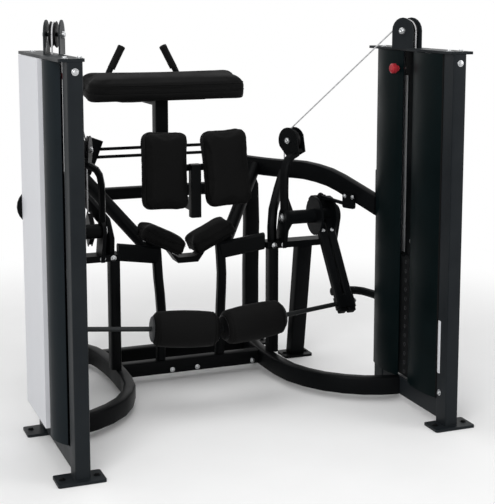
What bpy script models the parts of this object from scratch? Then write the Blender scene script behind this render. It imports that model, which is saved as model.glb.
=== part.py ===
"""Hip machine with two weight towers, a padded centre stand and two swinging roller arms.

Metres, +Z up. The user stands on the -Y side and faces +Y. Every piece of the right half is
modelled once and mirrored for the left half. Inside the machine empty, Y is measured from the
front face of the tower columns and X from the centre plane.
"""
import bmesh
import bpy
from math import atan2, cos, hypot, pi, radians, sin
from mathutils import Matrix, Vector

# Fits shared by all pieces
GAP = 0.0003
RUN_CLEARANCE = 0.0006
WELD_DEPTH = 0.004
CUT_MARGIN = 0.100

# Weight tower
TOWER_HEIGHT = 1.60
TOWER_X = 0.80
TOWER_DEPTH = 0.66
COLUMN_WIDTH = 0.060
COLUMN_DEPTH = 0.085
COLUMN_CORNER = 0.008
FOOT_LENGTH = 0.187
FOOT_DEPTH = 0.110
FOOT_THICKNESS = 0.012
FOOT_SHIFT = 0.0075
FRONT_FOOT_OVERHANG = 0.024
RAIL_BOTTOM = 0.030
RAIL_HEIGHT = 0.080
TOP_PLATE_WIDTH = 0.100
TOP_PLATE_LENGTH = 0.746
TOP_PLATE_THICKNESS = 0.012
TOP_PLATE_SHIFT = 0.012

# Tower covers
SHEET = 0.003
COVER_BOTTOM = 0.115
PANEL_FRONT = 0.320
PANEL_OVERHANG = 0.030
PANEL_STAND_OFF = 0.042
OUTER_SHROUD_FRONT = 0.105
OUTER_SHROUD_BULGE = 0.040
INNER_SHROUD_BULGE = 0.020
SLOT_WIDTH = 0.090

# Weight stack
STACK_CLEARANCE = 0.020
STACK_WIDTH = 0.360
STACK_THICKNESS = 0.050
PLATE_THICKNESS = 0.042
PLATE_GROOVE = 0.004
RESTING_PLATES = 9
LIFTED_PLATES = 4
ROD_SPREAD = 0.110
ROD_RADIUS = 0.012
ROD_BASE_HEIGHT = 0.015
STEM_RADIUS = 0.013
STEM_RISE = 0.060
STEM_DROP = 0.200

# Selector pin
KNOB_OFFSET = 0.025
KNOB_DROP = 0.090
KNOB_RADIUS = 0.022
KNOB_LENGTH = 0.036
PIN_RADIUS = 0.005
PIN_LENGTH = 0.040

# Pulleys and cable
PULLEY_RADIUS = 0.052
GROOVE_RADIUS = 0.041
PULLEY_WIDTH = 0.026
AXLE_RADIUS = 0.008
BOLT_HEAD_RADIUS = 0.015
BOLT_HEAD_LENGTH = 0.008
PULLEY_RISE = 0.075
CHEEK_RADIUS = 0.0575
CHEEK_THICKNESS = 0.006
CHEEK_SPACING = 0.060
CABLE_RADIUS = 0.0035

# Upper frame tube, an arch in an upright plane from the rear column to the rear leg
TUBE_START_X = 0.785
TUBE_END_X = 0.425
TUBE_END_Y = 1.515
TUBE_START_Z = 0.857
TUBE_CREST_Z = 0.980
TUBE_END_Z = 0.970
TUBE_WIDTH = 0.050
TUBE_HEIGHT = 0.090
TUBE_CORNER = 0.014
TUBE_STUB = 0.060
FLANGE_X = 0.815
FLANGE_Z = 0.952
FLANGE_RADIUS = 0.078
FLANGE_THICKNESS = 0.012

# Floor rails and cross beams
FLOOR_TUBE_HEIGHT = 0.085
FLOOR_TUBE_WIDTH = 0.056
FLOOR_TUBE_BOTTOM = 0.024
FLOOR_TUBE_Y = 0.440
FLOOR_TUBE_X = 0.375
FLOOR_TUBE_SEAT = 0.002
FLOOR_TUBE_STUB = 0.040
REAR_EASE = 0.004
REAR_BEND = 0.030
REAR_INSET = 0.012
FRONT_BEAM_Y = 1.100
REAR_BEAM_Y = 1.345
BEAM_DEPTH = 0.060
BEAM_HEIGHT = 0.070

# Swing arm
PIVOT_X = 0.585
PIVOT_Y = 1.000
PIVOT_Z = 0.767
SHAFT_RADIUS = 0.015
SHAFT_HEAD_RADIUS = 0.023
HUB_RADIUS = 0.034
HUB_LENGTH = 0.248
DISC_RADIUS = 0.095
DISC_THICKNESS = 0.012
ARM_LENGTH = 0.457
ARM_LEAN = radians(35)
ARM_RANGE = radians(45)
ARM_X = 0.650
ARM_TUBE = 0.038
ARM_TUBE_SPACING = 0.046
ARM_TUBE_CORNER = 0.005
ARM_TAIL = 0.045
ARM_HEAD = 0.100
AXLE_ROD_RADIUS = 0.011
AXLE_TAIL = 0.012
AXLE_INSET = 0.001
CLAMP_WALL = 0.006
CLAMP_HALF = 0.030
BRIDGE_INSET = 0.010
DISC_STAND_OFF = 0.002

# Cam on the swing arm and the guide pulley above it
CAM_X = 0.492
CAM_LINE = 0.100
CAM_LIP = 0.008
CAM_GROOVE = 0.012
CAM_WIDTH = 0.022
CAM_SPAN = radians(50)
GUIDE_Z = 1.135
BLOCK_RADIUS = 0.064
BLOCK_LEAN = radians(28)
BLOCK_FOOT = 0.020
BLOCK_FOOT_GAP = 0.006
BLOCK_FOOT_INSET = 0.002
STRUT_WIDTH = 0.028
STRUT_DEPTH = 0.046
STRUT_CORNER = 0.008

# Roller pads
ROLLER_INNER_X = 0.018
ROLLER_LENGTH = 0.292
ROLLER_RADIUS = 0.088
ROLLER_CROWN = 0.006
ROLLER_EDGE = 0.022
ROLLER_CORE_RADIUS = 0.024
ROLLER_CAP_RADIUS = 0.058
ROLLER_CAP_THICKNESS = 0.007
ROLLER_CAP_CHAMFER = 0.006
ROLLER_SWEEP = radians(6)
ROLLER_RISE = radians(4)

# Pivot post, stop bar and range stop
UPRIGHT_X = 0.395
UPRIGHT_Y = 1.020
UPRIGHT_WIDTH = 0.050
UPRIGHT_DEPTH = 0.070
HANGER_ALONG = 0.620
HANGER_WIDTH = 0.040
HANGER_DEPTH = 0.056
HANGER_SHIFT = 0.015
HANGER_SET_BACK = 0.012
SADDLE_START = 0.366
SADDLE_Y = 1.045
SADDLE_Z = 0.620
SADDLE_DEPTH = 0.090
SADDLE_THICKNESS = 0.030
SADDLE_LIP = 0.003
SADDLE_CORNER = 0.006
POST_CHEEK = 0.018
POST_CHEEK_WALL = 0.016
POST_X = 0.620
POST_Y = 1.250
POST_TOP_X = 0.570
POST_WIDTH = 0.080
POST_DEPTH = 0.070
POST_FOOT_LENGTH = 0.150
POST_FOOT_DEPTH = 0.120
STOP_RADIUS = 0.020
STOP_Z = 0.460
STOP_STUB = 0.030
STOP_LEAD = 0.020
STOP_BEND_X = 0.025
STOP_BEND_Y = 0.045
STOP_TURN = 0.080
BUMPER_RADIUS = 0.024
BUMPER_LENGTH = 0.026
RANGE_ROD_RADIUS = 0.009
RANGE_ALONG = 0.160
RANGE_Z = 0.848
RANGE_PLATE_LENGTH = 0.075
RANGE_PLATE_HEIGHT = 0.070
RANGE_PLATE_THICKNESS = 0.010
RANGE_PLATE_CORNER = 0.010
RANGE_PLATE_RISE = 0.018

# Rear stand, arm pad and handles
REAR_LEG_X = 0.480
REAR_LEG_Y = 1.520
REAR_LEG_WIDTH = 0.080
REAR_LEG_DEPTH = 0.060
REAR_LEG_TOP_X = 0.345
REAR_LEG_TOP_Z = 1.130
REAR_BAR_Z = 0.850
REAR_BAR_SIZE = 0.060
CROSS_ROD_RADIUS = 0.008
UPPER_ROD_Z = 1.078
LOWER_ROD_Z = 1.039
CROSS_ROD_SET_BACK = 0.004
CROSS_ROD_TAIL = 0.010
PAD_POST_SIZE = 0.068
ARM_PAD_WIDTH = 0.820
ARM_PAD_DEPTH = 0.235
ARM_PAD_THICKNESS = 0.105
ARM_PAD_Y = 1.500
ARM_PAD_Z = 1.335
ARM_PAD_TILT = radians(10)
BEARER_CORNER = 0.015
HANDLE_RADIUS = 0.016
HANDLE_Y = 1.845
HANDLE_Z = 1.290
HANDLE_SPREAD = 0.205
GRIP_TOP_X = 0.110
GRIP_TOP_Z = 1.565
HANDLE_BEND = 0.020
HANDLE_TURN = 0.070
HANDLE_LEAN = 0.150
HANDLE_FLANGE = 0.010

# Seat and torso pads
SEAT_Y = 1.160
SEAT_Z = 0.600
SEAT_SLOPE = radians(26)
WING_LENGTH = 0.235
WING_DEPTH = 0.180
WING_THICKNESS = 0.075
WING_PLATE = 0.008
WING_CORNER = 0.030
WING_PLATE_CORNER = 0.012
WING_MARGIN = 0.001
SEAT_LEG_X = 0.150
SEAT_LEG_SIZE = 0.042
SEAT_LEG_FORWARD = 0.040
SEAT_LEG_BOW = 0.010
SEAT_LEG_KNEE = 0.160
SEAT_LEG_SAG = 0.040
SEAT_LEG_SET = 0.020
SEAT_BRACE_RADIUS = 0.033
SEAT_BRACE_SHIFT = 0.020
SEAT_BRACE_DROP = 0.040
SEAT_BRACE_SHARE = 0.865
SEAT_BLOCK_DEPTH = 0.040
SEAT_BLOCK_HALF = 0.050
SEAT_BLOCK_SINK = 0.012
SIDE_ARM_HEIGHT = 0.080
SIDE_ARM_CORNER = 0.010
SIDE_ARM_DROP = 0.050
SIDE_ARM_REACH = 0.050
TORSO_POST_Y = 1.010
TORSO_POST_SIZE = 0.050
TORSO_POST_TOP = 1.050
TORSO_POST_BOTTOM = 0.800
TIE_RADIUS = 0.016
TIE_OFFSET = 0.010
BOOM_INSET = 0.004
TORSO_PAD_WIDTH = 0.232
TORSO_PAD_HEIGHT = 0.370
TORSO_PAD_THICKNESS = 0.066
TORSO_PAD_X = 0.150
TORSO_PAD_Y = 0.985
TORSO_PAD_Z = 1.030
TORSO_PAD_ROLL = radians(-3)
TORSO_PAD_TOE = radians(4)
TORSO_PAD_LEAN = radians(9)
PAD_CORNER = 0.045
PAD_DRAW_IN = 0.004
PAD_LEAST_CORNER = 0.012

# Section of a pad: share of its thickness, and how far the outline lies inside the full one
PAD_SECTION = ((0.0, 0.010), (0.14, 0.001), (0.45, 0.003), (0.74, 0.0), (0.90, 0.012), (0.97, 0.034),
               (1.0, 0.075))

# The machine stands centred on its own box
FRONT_EDGE = -FRONT_FOOT_OVERHANG
REAR_EDGE = HANDLE_Y + HANDLE_RADIUS
CENTRE_Y = (FRONT_EDGE + REAR_EDGE) / 2

# Levels and faces that several pieces share
PLATE_UNDERSIDE = TOWER_HEIGHT - TOP_PLATE_THICKNESS
RAIL_TOP = RAIL_BOTTOM + RAIL_HEIGHT
FLOOR_TUBE_TOP = FLOOR_TUBE_BOTTOM + FLOOR_TUBE_HEIGHT
FLOOR_TUBE_Z = FLOOR_TUBE_BOTTOM + FLOOR_TUBE_HEIGHT / 2
COLUMN_OUTER = TOWER_X + COLUMN_WIDTH / 2
COLUMN_INNER = TOWER_X - COLUMN_WIDTH / 2
REAR_COLUMN_Y = TOWER_DEPTH - COLUMN_DEPTH
PANEL_REAR = TOWER_DEPTH + PANEL_OVERHANG
STACK_Y = REAR_COLUMN_Y - STACK_CLEARANCE - STACK_WIDTH / 2
SLOT_FRONT = STACK_Y - SLOT_WIDTH / 2
SLOT_REAR = STACK_Y + SLOT_WIDTH / 2
KNOB_Y = SLOT_REAR + KNOB_OFFSET
KNOB_Z = TOWER_HEIGHT - KNOB_DROP
STACK_BOTTOM = RAIL_TOP + GAP + ROD_BASE_HEIGHT + GAP
RESTING_TOP = STACK_BOTTOM + RESTING_PLATES * PLATE_THICKNESS
TIE_Y = TORSO_POST_Y + TORSO_POST_SIZE / 2 + TIE_OFFSET
CROSS_ROD_Y = REAR_LEG_Y - REAR_LEG_DEPTH / 2 + CROSS_ROD_RADIUS + CROSS_ROD_SET_BACK
PAD_POST_FRONT = CROSS_ROD_Y + CROSS_ROD_RADIUS + GAP
LIFTED_TOP = RESTING_TOP + GAP + LIFTED_PLATES * PLATE_THICKNESS
STEM_TOP = LIFTED_TOP + STEM_RISE
PULLEY_Z = TOWER_HEIGHT + PULLEY_RISE

# Both pulleys and the cable lie in one upright plane, from the stack's stem to the cam
CABLE_YAW = atan2(TOWER_X - CAM_X, PIVOT_Y + CAM_LINE - STACK_Y)
CABLE_LEVEL = Vector((-sin(CABLE_YAW), cos(CABLE_YAW), 0))
PULLEY_AXIS = Vector((cos(CABLE_YAW), sin(CABLE_YAW), 0))
CABLE_LINE = GROOVE_RADIUS + CABLE_RADIUS * 1.6 + 3 * GAP
TOP_PULLEY = Vector((TOWER_X, STACK_Y, PULLEY_Z)) + CABLE_LEVEL * CABLE_LINE
GUIDE_PULLEY = Vector((CAM_X, PIVOT_Y + CAM_LINE, GUIDE_Z)) - CABLE_LEVEL * CABLE_LINE

BLACK_PAINT = ("black_paint", (0.012, 0.015, 0.017), 0.42, 0.0)
TEAL_COVER = ("dark_cover", (0.014, 0.022, 0.026), 0.38, 0.0)
WHITE_PANEL = ("white_panel", (0.62, 0.63, 0.66), 0.45, 0.0)
CHROME = ("bright_steel", (0.62, 0.62, 0.63), 0.22, 1.0)
IRON = ("stack_iron", (0.020, 0.021, 0.022), 0.55, 0.4)
NYLON = ("black_nylon", (0.016, 0.016, 0.017), 0.40, 0.0)
VINYL = ("black_vinyl", (0.011, 0.011, 0.011), 0.48, 0.0)
GREY_CAP = ("grey_cap", (0.10, 0.105, 0.11), 0.45, 0.0)
RED_KNOB = ("red_knob", (0.32, 0.020, 0.030), 0.38, 0.0)
CABLE_GREY = ("cable_grey", (0.42, 0.42, 0.43), 0.45, 0.0)


def clear_scene():
    """Empty the scene, so that only this machine is in it."""
    for obj in list(bpy.data.objects):
        bpy.data.objects.remove(obj, do_unlink=True)


def material(spec):
    """The material of one finish, made once."""
    name, colour, roughness, metallic = spec
    if name in bpy.data.materials:
        return bpy.data.materials[name]
    made = bpy.data.materials.new(name)
    made.use_nodes = True
    shader = made.node_tree.nodes["Principled BSDF"]
    shader.inputs["Base Color"].default_value = (*colour, 1.0)
    shader.inputs["Roughness"].default_value = roughness
    shader.inputs["Metallic"].default_value = metallic
    return made


def empty(name, location, parent=None):
    """A parent empty on a joint axis or at the machine's reference point."""
    made = bpy.data.objects.new(name, None)
    made.location = location
    made.parent = parent
    bpy.context.scene.collection.objects.link(made)
    return made


def as_object(bm, name="piece"):
    """Turn a bmesh into a scene object with outward faces."""
    bmesh.ops.recalc_face_normals(bm, faces=bm.faces)
    mesh = bpy.data.meshes.new(name)
    bm.to_mesh(mesh)
    bm.free()
    made = bpy.data.objects.new(name, mesh)
    bpy.context.scene.collection.objects.link(made)
    return made


def loft(rings):
    """A closed solid through rings of equal point count, capped at both ends."""
    bm = bmesh.new()
    loops = [[bm.verts.new(point) for point in ring] for ring in rings]
    count = len(loops[0])
    for low, high in zip(loops, loops[1:]):
        for i in range(count):
            j = (i + 1) % count
            bm.faces.new((low[i], low[j], high[j], high[i]))
    bm.faces.new(loops[0][::-1])
    bm.faces.new(loops[-1])
    return as_object(bm)


def turned_ring(profile, steps, centre, axis):
    """A ring turned about an axis from a closed profile of (radius, height) points."""
    bm = bmesh.new()
    turn = Vector((0, 0, 1)).rotation_difference(Vector(axis)).to_matrix()
    loops = []
    for step in range(steps):
        angle = 2 * pi * step / steps
        points = [Vector((r * cos(angle), r * sin(angle), h)) for r, h in profile]
        loops.append([bm.verts.new(Vector(centre) + turn @ point) for point in points])
    count = len(profile)
    for step in range(steps):
        here, there = loops[step], loops[(step + 1) % steps]
        for i in range(count):
            j = (i + 1) % count
            bm.faces.new((here[i], here[j], there[j], there[i]))
    return as_object(bm)


def turned_solid(profile, steps, centre, axis):
    """A solid turned about an axis from (radius, height) points, with flat ends."""
    turn = Vector((0, 0, 1)).rotation_difference(Vector(axis)).to_matrix()
    rings = []
    for radius, height in profile:
        angles = [2 * pi * step / steps for step in range(steps)]
        ring = [Vector((radius * cos(a), radius * sin(a), height)) for a in angles]
        rings.append([Vector(centre) + turn @ point for point in ring])
    return loft(rings)


def round_bar(start, end, radius, steps=16):
    """A round bar between two points."""
    axis = Vector(end) - Vector(start)
    return turned_solid([(radius, 0), (radius, axis.length)], steps, start, axis)


def rounded_outline(width, height, corner, steps=2):
    """Points of a rectangle with round corners, centred on the origin."""
    points = []
    inner = (width / 2 - corner, height / 2 - corner)
    for quarter, (sx, sy) in enumerate(((1, 1), (-1, 1), (-1, -1), (1, -1))):
        for step in range(steps + 1):
            angle = (quarter + step / steps) * pi / 2
            points.append((sx * inner[0] + corner * cos(angle), sy * inner[1] + corner * sin(angle)))
    return points


def circle_outline(radius, steps):
    """Points round a circle."""
    return [(radius * cos(2 * pi * i / steps), radius * sin(2 * pi * i / steps)) for i in range(steps)]


def block(low, high):
    """A square-edged block between two corners."""
    (x0, y0, z0), (x1, y1, z1) = low, high
    outline = ((x0, y0), (x1, y0), (x1, y1), (x0, y1))
    return loft([[(x, y, z) for x, y in outline] for z in (z0, z1)])


def upright_bar(centre, width, depth, bottom, top, corner):
    """An upright tube with round corners, from bottom to top."""
    outline = rounded_outline(width, depth, corner)
    x0, y0 = centre
    return loft([[(x0 + a, y0 + b, z) for a, b in outline] for z in (bottom, top)])


def extrude(outline, place, start, end):
    """Extrude a flat outline; place(a, b, along) gives the point of one corner."""
    return loft([[place(a, b, along) for a, b in outline] for along in (start, end)])


def smooth_path(points, per_span):
    """Points on a smooth curve through the given points."""
    points = [Vector(point) for point in points]
    ends = [2 * points[0] - points[1]] + points + [2 * points[-1] - points[-2]]
    path = []
    for p0, p1, p2, p3 in zip(ends, ends[1:], ends[2:], ends[3:]):
        for step in range(per_span):
            t = step / per_span
            path.append(0.5 * (2 * p1 + (p2 - p0) * t + (2 * p0 - 5 * p1 + 4 * p2 - p3) * t * t
                               + (3 * p1 - p0 - 3 * p2 + p3) * t * t * t))
    return path + [points[-1]]


def tangents(path):
    """The direction of a path at each of its points."""
    spans = [b - a for a, b in zip(path, path[1:])]
    middle = [(a.normalized() + b.normalized()).normalized() for a, b in zip(spans, spans[1:])]
    return [spans[0].normalized()] + middle + [spans[-1].normalized()]


def sweep(path, flat, section):
    """Sweep outlines along a path; flat is the direction square to the plane of the path."""
    flat = Vector(flat).normalized()
    rings = []
    for share, (point, along) in enumerate(zip(path, tangents(path))):
        across = along.cross(flat).normalized()
        square = across.cross(along)
        outline = section(share / (len(path) - 1))
        rings.append([point + square * a + across * b for a, b in outline])
    return loft(rings)


def combine(base, tools, operation):
    """Join tools to a base solid, or cut them from it, and remove the tools."""
    for tool in tools:
        step = base.modifiers.new("combine", 'BOOLEAN')
        step.operation = operation
        step.solver = 'EXACT'
        step.object = tool
    bpy.context.view_layer.update()
    graph = bpy.context.evaluated_depsgraph_get()
    mesh = bpy.data.meshes.new_from_object(base.evaluated_get(graph))
    base.modifiers.clear()
    base.data = mesh
    for tool in tools:
        bpy.data.objects.remove(tool, do_unlink=True)
    return base


def join(base, *tools):
    return combine(base, tools, 'UNION')


def cut(base, *tools):
    return combine(base, tools, 'DIFFERENCE')


def finish(obj, name, look, machine, side=1, pivot=None):
    """Name, mirror, paint and parent one piece; a moving piece gets its pivot as parent."""
    obj.name = obj.data.name = name
    if side < 0:
        obj.data.transform(Matrix.Scale(-1, 4, (1, 0, 0)))
        obj.data.flip_normals()
    if pivot:
        obj.data.transform(Matrix.Translation(-pivot.location))
    obj.parent = pivot or machine
    obj.data.materials.clear()
    obj.data.materials.append(material(look))
    obj.data.shade_smooth()
    obj.data.set_sharp_from_angle(angle=radians(32))
    return obj


# Weight tower

def tower_frame():
    """Two columns, their foot plates and the rail between them, welded together."""
    top = PLATE_UNDERSIDE - GAP
    foot_x = TOWER_X + FOOT_SHIFT
    front_y = COLUMN_DEPTH / 2
    rear_y = TOWER_DEPTH - COLUMN_DEPTH / 2
    sizes = (COLUMN_WIDTH, COLUMN_DEPTH)
    frame = upright_bar((TOWER_X, front_y), *sizes, FOOT_THICKNESS - WELD_DEPTH, top, COLUMN_CORNER)
    rear = upright_bar((TOWER_X, rear_y), *sizes, FOOT_THICKNESS - WELD_DEPTH, top, COLUMN_CORNER)
    half_foot = FOOT_DEPTH / 2
    feet = [upright_bar((foot_x, y), FOOT_LENGTH, FOOT_DEPTH, 0, FOOT_THICKNESS, COLUMN_CORNER)
            for y in (half_foot - FRONT_FOOT_OVERHANG, TOWER_DEPTH - half_foot)]
    rail = block((COLUMN_INNER + WELD_DEPTH, front_y, RAIL_BOTTOM),
                 (COLUMN_OUTER - WELD_DEPTH, rear_y, RAIL_TOP))
    return join(frame, rear, rail, *feet)


def top_plate():
    """The tower's top plate with its two pulley cheeks and their axle bolt."""
    centre_x = TOWER_X + TOP_PLATE_SHIFT
    plate = upright_bar((centre_x, TOP_PLATE_LENGTH / 2), TOP_PLATE_WIDTH, TOP_PLATE_LENGTH,
                        PLATE_UNDERSIDE, TOWER_HEIGHT, COLUMN_CORNER)
    low = -PULLEY_RISE - WELD_DEPTH
    outline = half_disc(CHEEK_RADIUS) + [(-CHEEK_RADIUS, low), (CHEEK_RADIUS, low)]
    inner = (CHEEK_SPACING - CHEEK_THICKNESS) / 2
    cheeks = []
    for start in (-inner - CHEEK_THICKNESS, inner):
        cheeks.append(extrude(outline, lambda a, b, x: TOP_PULLEY + CABLE_LEVEL * a + PULLEY_AXIS * x
                              + Vector((0, 0, b)), start, start + CHEEK_THICKNESS))
    bolt = axle_bolt(TOP_PULLEY, CHEEK_SPACING + CHEEK_THICKNESS)
    join(plate, *cheeks)
    join(plate, bolt)
    hole = round_bar((TOWER_X, STACK_Y, PLATE_UNDERSIDE - WELD_DEPTH),
                     (TOWER_X, STACK_Y, TOWER_HEIGHT + WELD_DEPTH), CABLE_RADIUS * 3, 12)
    return cut(plate, hole)


def half_disc(radius, steps=10):
    """Points round the upper half of a disc, from its right end to its left end."""
    return [(radius * cos(pi * i / steps), radius * sin(pi * i / steps)) for i in range(steps + 1)]


def axle_bolt(centre, grip):
    """A pulley's axle bolt, with a head at each end."""
    half = grip / 2 - WELD_DEPTH / 8
    profile = [(BOLT_HEAD_RADIUS, -half - BOLT_HEAD_LENGTH), (BOLT_HEAD_RADIUS, -half),
               (AXLE_RADIUS, -half), (AXLE_RADIUS, half),
               (BOLT_HEAD_RADIUS, half), (BOLT_HEAD_RADIUS, half + BOLT_HEAD_LENGTH)]
    return turned_solid(profile, 12, centre, PULLEY_AXIS)


def pulley(centre):
    """A grooved pulley on its axle, in the plane of the cable."""
    half = PULLEY_WIDTH / 2
    lip = half * 0.7
    bore = AXLE_RADIUS + RUN_CLEARANCE
    profile = [(bore, -half), (PULLEY_RADIUS, -half), (PULLEY_RADIUS, -lip), (GROOVE_RADIUS, 0),
               (PULLEY_RADIUS, lip), (PULLEY_RADIUS, half), (bore, half)]
    return turned_ring(profile, 16, centre, PULLEY_AXIS)


def outer_panel():
    """The flat white side panel, a pressed tray open towards the tower."""
    low = (COLUMN_OUTER + GAP, PANEL_FRONT, COVER_BOTTOM)
    high = (COLUMN_OUTER + PANEL_STAND_OFF, PANEL_REAR, PLATE_UNDERSIDE - GAP)
    tray = block(low, high)
    inside = block((low[0] - SHEET, low[1] + SHEET, low[2] + SHEET),
                   (high[0] - SHEET, high[1] - SHEET, high[2] - SHEET))
    return cut(tray, inside)


def bowed_sheet(face_x, bulge, front, rear):
    """An upright sheet bowed in plan by bulge away from face_x; a negative bulge bows inward."""
    steps = 8
    sign = 1 if bulge > 0 else -1
    bow = [(1 - (2 * i / steps - 1) ** 2, front + (rear - front) * i / steps) for i in range(steps + 1)]
    outside = [(face_x + bulge * share + sign * SHEET, y) for share, y in bow]
    inside = [(face_x + bulge * share, y) for share, y in bow]
    return extrude(outside + inside[::-1], lambda x, y, z: (x, y, z),
                   COVER_BOTTOM, PLATE_UNDERSIDE - GAP)


def outer_shroud():
    return bowed_sheet(COLUMN_OUTER + GAP, OUTER_SHROUD_BULGE, OUTER_SHROUD_FRONT, PANEL_FRONT - GAP)


def inner_shroud_front():
    return bowed_sheet(COLUMN_INNER - GAP, -INNER_SHROUD_BULGE, COLUMN_DEPTH + GAP, SLOT_FRONT)


def inner_shroud_rear():
    """The rear inner cover, with the hole that parks the selector pin."""
    sheet = bowed_sheet(COLUMN_INNER - GAP, -INNER_SHROUD_BULGE, SLOT_REAR, TOWER_DEPTH - GAP)
    hole = round_bar((COLUMN_INNER - 3 * INNER_SHROUD_BULGE, KNOB_Y, KNOB_Z),
                     (TOWER_X, KNOB_Y, KNOB_Z), PIN_RADIUS + GAP, 12)
    return cut(sheet, hole)


def guide_rods():
    """Two bright rods standing on a base bar, under the top plate."""
    bottom = RAIL_TOP + GAP
    top = PLATE_UNDERSIDE - GAP
    half = ROD_SPREAD + 2 * ROD_RADIUS
    base = upright_bar((TOWER_X, STACK_Y), 3 * ROD_RADIUS, 2 * half, bottom,
                       bottom + ROD_BASE_HEIGHT, ROD_RADIUS)
    rods = [round_bar((TOWER_X, STACK_Y + y, bottom + WELD_DEPTH), (TOWER_X, STACK_Y + y, top),
                      ROD_RADIUS, 12) for y in (-ROD_SPREAD, ROD_SPREAD)]
    return join(base, *rods)


def plates(bottom, count):
    """A pile of weight plates as one grooved block, with bores for both rods and the stem."""
    half = STACK_WIDTH / 2
    outline = []
    for i in range(count):
        low = bottom + i * PLATE_THICKNESS
        high = low + PLATE_THICKNESS
        outline += [(half - PLATE_GROOVE, low), (half, low + PLATE_GROOVE),
                    (half, high - PLATE_GROOVE), (half - PLATE_GROOVE, high)]
    edge = [point for i, point in enumerate(outline) if i == 0 or point != outline[i - 1]]
    ring = edge + [(-y, z) for y, z in reversed(edge)]
    start, end = TOWER_X - STACK_THICKNESS / 2, TOWER_X + STACK_THICKNESS / 2
    pile = extrude(ring, lambda y, z, x: (x, STACK_Y + y, z), start, end)
    top = bottom + count * PLATE_THICKNESS
    return cut(pile, *[stack_bore(y, radius, bottom, top) for y, radius in (
        (-ROD_SPREAD, ROD_RADIUS), (ROD_SPREAD, ROD_RADIUS), (0, STEM_RADIUS))])


def stack_bore(offset, radius, bottom, top):
    """The cutter of one upright bore through a pile of plates."""
    return round_bar((TOWER_X, STACK_Y + offset, bottom - WELD_DEPTH),
                     (TOWER_X, STACK_Y + offset, top + WELD_DEPTH), radius + 2 * RUN_CLEARANCE, 12)


def weight_stack():
    return plates(STACK_BOTTOM, RESTING_PLATES)


def lifted_plates():
    """The plates that the arm lifts, fixed on the selector stem."""
    pile = plates(RESTING_TOP + GAP, LIFTED_PLATES)
    stem = round_bar((TOWER_X, STACK_Y, RESTING_TOP - STEM_DROP), (TOWER_X, STACK_Y, STEM_TOP),
                     STEM_RADIUS, 12)
    collar = turned_solid([(STEM_RADIUS * 2, 0), (STEM_RADIUS * 2, STEM_RADIUS)], 12,
                          (TOWER_X, STACK_Y, LIFTED_TOP - WELD_DEPTH), (0, 0, 1))
    base = round_bar((TOWER_X, STACK_Y, RESTING_TOP + 2 * GAP),
                     (TOWER_X, STACK_Y, LIFTED_TOP - GAP), STEM_RADIUS * 1.5, 12)
    return join(pile, base, stem, collar)


def shroud_face_at(y):
    """The X of the rear inner shroud's outer face at one depth."""
    share = 2 * (y - SLOT_REAR) / (TOWER_DEPTH - GAP - SLOT_REAR) - 1
    return COLUMN_INNER - GAP - INNER_SHROUD_BULGE * (1 - share * share) - SHEET


def selector_pin():
    """A red round knob on a steel pin, parked in the rear inner shroud."""
    face = shroud_face_at(KNOB_Y + KNOB_RADIUS) - GAP
    r = KNOB_RADIUS
    profile = [(PIN_RADIUS, -PIN_LENGTH), (PIN_RADIUS, 0), (r * 0.6, 0), (r * 0.6, KNOB_LENGTH * 0.25),
               (r, KNOB_LENGTH * 0.4), (r, KNOB_LENGTH * 0.85), (r * 0.7, KNOB_LENGTH)]
    return turned_solid(profile, 14, (face, KNOB_Y, KNOB_Z), (-1, 0, 0))


def cable_drop():
    """The cable from the top pulley straight down to the selector stem."""
    return round_bar((TOWER_X, STACK_Y, STEM_TOP + GAP), (TOWER_X, STACK_Y, PULLEY_Z - 3 * GAP),
                     CABLE_RADIUS, 8)


def cable_run():
    """The cable over the top and guide pulleys, down to the arm's cam and round it."""
    reach = (GUIDE_PULLEY - TOP_PULLEY).dot(CABLE_LEVEL)
    leave = pi / 2 - atan2(TOP_PULLEY.z - GUIDE_PULLEY.z, reach)

    def on_pulley(centre, angle):
        return centre + CABLE_LEVEL * CABLE_LINE * cos(angle) + Vector((0, 0, CABLE_LINE * sin(angle)))

    def on_cam(angle):
        return Vector((CAM_X, PIVOT_Y + CAM_LINE * cos(angle), PIVOT_Z + CAM_LINE * sin(angle)))
    path = [on_pulley(TOP_PULLEY, pi + (leave - pi) * i / 10) for i in range(11)]
    guide = [on_pulley(GUIDE_PULLEY, leave * (1 - i / 5)) for i in range(6)]
    cam = [on_cam(-ARM_RANGE * i / 6) for i in range(7)]
    path += [path[-1].lerp(guide[0], i / 5) for i in range(1, 5)] + guide
    path += [guide[-1].lerp(cam[0], i / 3) for i in range(1, 3)] + cam
    outline = circle_outline(CABLE_RADIUS, 8)
    return sweep(path, PULLEY_AXIS, lambda share: outline)


# Frame tubes

def tube_plane():
    """Start point, level direction and length of the upper tube's upright plane."""
    start = Vector((TUBE_START_X, TOWER_DEPTH, 0))
    reach = Vector((TUBE_END_X, TUBE_END_Y, 0)) - start
    return start, reach.normalized(), reach.length


def in_tube_plane(along, z):
    """A point of the upper tube's plane: along runs inward and back from the rear column."""
    start, level, _ = tube_plane()
    return start + level * along + Vector((0, 0, z))


def tube_path():
    """The arch's centre line, up from the rear column to its crest and level to the rear leg."""
    reach = tube_plane()[2]
    rise = TUBE_CREST_Z - TUBE_START_Z
    marks = [(-TUBE_STUB, TUBE_START_Z - rise * 0.17), (0, TUBE_START_Z),
             (reach * 0.18, TUBE_START_Z + rise * 0.49), (reach * 0.33, TUBE_START_Z + rise * 0.85),
             (reach * 0.51, TUBE_CREST_Z), (reach * 0.66, TUBE_CREST_Z - rise * 0.05),
             (reach * 0.81, TUBE_END_Z), (reach, TUBE_END_Z)]
    return smooth_path([in_tube_plane(along, z) for along, z in marks], 2)


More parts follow.
